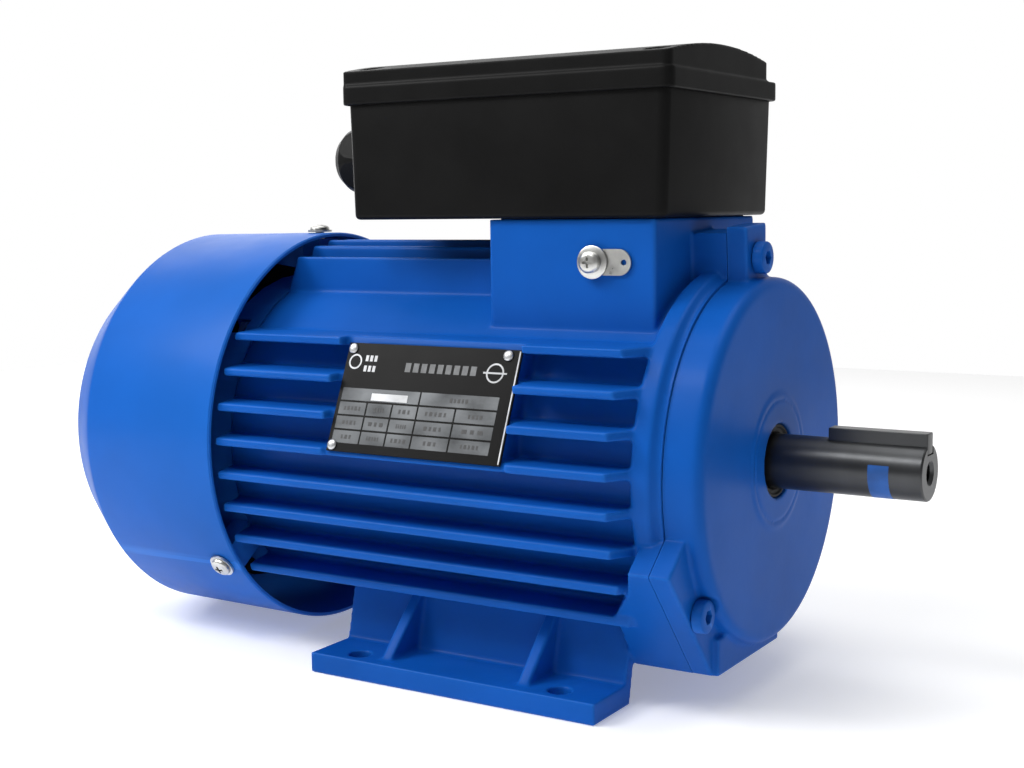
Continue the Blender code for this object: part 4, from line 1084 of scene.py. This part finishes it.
def plate_ring(name, across, up, outer, inner):
    """A round mark on the plate's face."""
    turn = Matrix.Rotation(-PLATE_LEAN, 3, "X")
    centre = Vector((PLATE_X, *PLATE_MIDDLE)) + turn @ Vector((across, 0, up))
    profile = [(outer, 0.07), (outer, 0.02), (inner, 0.02), (inner, 0.07)]
    return turned(name, profile, centre, plate_normal(), 40)


TABLE_COLUMNS = (0.0, 0.185, 0.35, 0.514, 0.748, 1.0)
TABLE_TOP_COLUMNS = (0.0, 0.514, 1.0)
TABLE_LEFT = -35.0
TABLE_WIDTH = 66.3
TABLE_LOW = -17.2
TABLE_ROW = 5.2
TABLE_ROWS = 4


def make_nameplate():
    """A black plate with a bare metal table, and plain strokes where lettering would go."""
    plate = plate_block("rating_plate", 0, PLATE_SIZE[2], PLATE_SIZE[0], PLATE_SIZE[1])
    carve(plate, (), [
        rod(f"plate_hole_{i}", 1.2, -5, 5, point, plate_normal(), 24)
        for i, point in enumerate(rivet_points())
    ])
    crisp(plate, 0.15)
    settle_piece(plate, PRINT_BLACK, ["nameplate"])

    cells = []
    strokes = []
    for row in range(TABLE_ROWS):
        up = TABLE_LOW + TABLE_ROW * (row + 0.5)
        columns = TABLE_TOP_COLUMNS if row == TABLE_ROWS - 1 else TABLE_COLUMNS
        for column, (left, right) in enumerate(zip(columns, columns[1:])):
            middle = TABLE_LEFT + TABLE_WIDTH * (left + right) / 2
            span = TABLE_WIDTH * (right - left) - 0.7
            cell = f"cell_{row}_{column}"
            cells.append(plate_block(cell, 0.05, -0.02, span, TABLE_ROW - 0.7, (middle, up)))
            inked = min(span, 14.0) * (0.45 + 0.12 * ((row + column) % 3))
            parts = 3 + (row + 2 * column) % 3
            for part in range(parts):
                place = middle - inked / 2 + inked * (part + 0.5) / parts
                mark = inked / parts * (0.45 + 0.2 * ((part + row) % 2))
                strokes.append(plate_block(
                    f"stroke_{row}_{column}_{part}", 0.09, -0.06, mark, 1.5, (place, up)
                ))
    settle_piece(joined("plate_table", cells), PLATE_METAL)
    settle_piece(joined("plate_strokes", strokes), STROKE_GREY)

    half = PLATE_SIZE[0] / 2
    light = [
        plate_block("light_bar", 0.12, -0.08, 15.5, 2.6, (-13.8, 0.4)),
        plate_block("right_edge", 0.06, -0.01, 0.5, PLATE_SIZE[1] - 1.0, (half - 0.7, 0)),
        plate_block("mark_line", 0.08, -0.03, 9.4, 0.6, (27.2, 11.5)),
    ]
    light.append(plate_ring("left_mark", -32.0, 13.0, 2.8, 2.2))
    light.append(plate_ring("right_mark", 27.2, 11.5, 3.5, 2.9))
    for row in range(2):
        for index in range(3):
            place = (-27.1 + 1.9 * index, 14.4 - 3.8 * row)
            light.append(plate_block(f"side_note_{row}_{index}", 0.08, -0.03, 1.2, 2.2, place))
    bars = [
        plate_block(f"header_{i}", 0.08, -0.03, 2.3, 3.3, (-8.7 + 3.4 * i, 11.8)) for i in range(9)
    ]
    settle_piece(joined("plate_header_bars", bars), BAR_GREY)
    settle_piece(joined("plate_light_print", light), PLATE_LIGHT)

    for i, point in enumerate(rivet_points()):
        seat = point + Vector(plate_normal()) * 0.3
        profile = dome(1.9, 0.0, 0.9) + [(0.8, 0), (0.8, -6), (0, -6)]
        rivet = turned(f"plate_rivet_{i + 1}", profile, seat, plate_normal(), 32)
        smooth(rivet, 40)
        settle_piece(rivet, ALUMINIUM, [f"nameplate_rivet_{i + 1}"])


# ---------------------------------------------------------------- stage


CAMERA_AZIMUTH = math.radians(31.96)
CAMERA_ELEVATION = math.radians(6.70)
CAMERA_ROLL = math.radians(-0.71)
CAMERA_PLACE = (0.3060, -0.4841, 0.1682)
CAMERA_LENS = 52.8


def make_camera():
    """A camera turned by azimuth and elevation, then rolled."""
    back = Vector((
        math.sin(CAMERA_AZIMUTH) * math.cos(CAMERA_ELEVATION),
        -math.cos(CAMERA_AZIMUTH) * math.cos(CAMERA_ELEVATION),
        math.sin(CAMERA_ELEVATION),
    ))
    level = Vector((math.cos(CAMERA_AZIMUTH), math.sin(CAMERA_AZIMUTH), 0))
    rise = back.cross(level)
    right = level * math.cos(CAMERA_ROLL) + rise * math.sin(CAMERA_ROLL)
    up = -level * math.sin(CAMERA_ROLL) + rise * math.cos(CAMERA_ROLL)
    data = bpy.data.cameras.new("camera")
    data.sensor_width = 36.0
    data.lens = CAMERA_LENS
    camera = bpy.data.objects.new("camera", data)
    turn = Matrix((right, up, back)).transposed().to_4x4()
    camera.matrix_world = Matrix.Translation(CAMERA_PLACE) @ turn
    bpy.context.scene.collection.objects.link(camera)
    bpy.context.scene.camera = camera


def area_light(name, place, target, size, power):
    """A rectangular softbox that faces a target."""
    data = bpy.data.lights.new(name, "AREA")
    data.shape = "RECTANGLE"
    data.size, data.size_y = size
    data.energy = power
    light = bpy.data.objects.new(name, data)
    light.location = place
    light.rotation_euler = (Vector(place) - Vector(target)).to_track_quat("Z", "Y").to_euler()
    bpy.context.scene.collection.objects.link(light)


BACKDROP = (-0.53, 0.85, 0.0)  # the way to the white backdrop behind the motor
ROOM_LIGHT = 0.3  # the dim room on the camera's side, against a backdrop of 1
FLOOR_GLOW = 0.28


def make_floor():
    """A white floor that glows a little, so that it stays white under the motor's own shade."""
    bm = bmesh.new()
    bmesh.ops.create_grid(bm, x_segments=1, y_segments=1, size=1.0)
    floor = from_bmesh("studio_floor", bm)
    material, shader = new_material("studio_white", (0.93, 0.93, 0.93), 0.9)
    shader.inputs["Emission Color"].default_value = (1.0, 1.0, 1.0, 1.0)
    shader.inputs["Emission Strength"].default_value = FLOOR_GLOW
    floor.data.materials.append(material)


def make_room():
    """A world that is white on the backdrop's side and dim on the camera's."""
    world = bpy.data.worlds.new("studio")
    world.use_nodes = True
    nodes = world.node_tree.nodes
    links = world.node_tree.links
    place = nodes.new("ShaderNodeTexCoord")
    towards = nodes.new("ShaderNodeVectorMath")
    towards.operation = "DOT_PRODUCT"
    towards.inputs[1].default_value = BACKDROP
    light = nodes.new("ShaderNodeMapRange")
    light.inputs["From Min"].default_value = 0.5
    light.inputs["From Max"].default_value = 0.88
    light.inputs["To Min"].default_value = ROOM_LIGHT
    light.inputs["To Max"].default_value = 1.0
    links.new(place.outputs["Generated"], towards.inputs[0])
    links.new(towards.outputs["Value"], light.inputs["Value"])
    links.new(light.outputs["Result"], nodes["Background"].inputs["Strength"])
    nodes["Background"].inputs["Color"].default_value = (1.0, 1.0, 1.0, 1.0)
    bpy.context.scene.world = world
    bpy.context.scene.view_settings.view_transform = "Standard"


def make_lights():
    """Soft boxes around the motor, and a narrow one for the glint along the shaft."""
    centre = (0.0, 0.0, 0.1)
    shaft_middle = (0.13, 0.0, 0.08)
    area_light("key", (-0.62, -0.5, 0.72), centre, (0.45, 0.45), 6.2)
    area_light("top", (0.0, 0.1, 1.3), centre, (1.2, 0.8), 7)
    area_light("glint", (-0.06, -0.40, 0.60), shaft_middle, (0.3, 0.1), 1.2)
    area_light("rim", (-0.9, 0.6, 0.5), centre, (0.5, 0.9), 2)


# ---------------------------------------------------------------- build


dress_nodes()
make_body_casting()
make_shield_casting()
make_cowl()
make_box_gasket()
make_box_housing()
make_box_cover()
make_gland()
make_shaft()
make_shaft_mark()
make_seal()
make_cowl_screws()
make_shield_bolts()
make_lid_screws()
make_earth_terminal()
make_nameplate()
make_floor()
make_room()
make_lights()
make_camera()
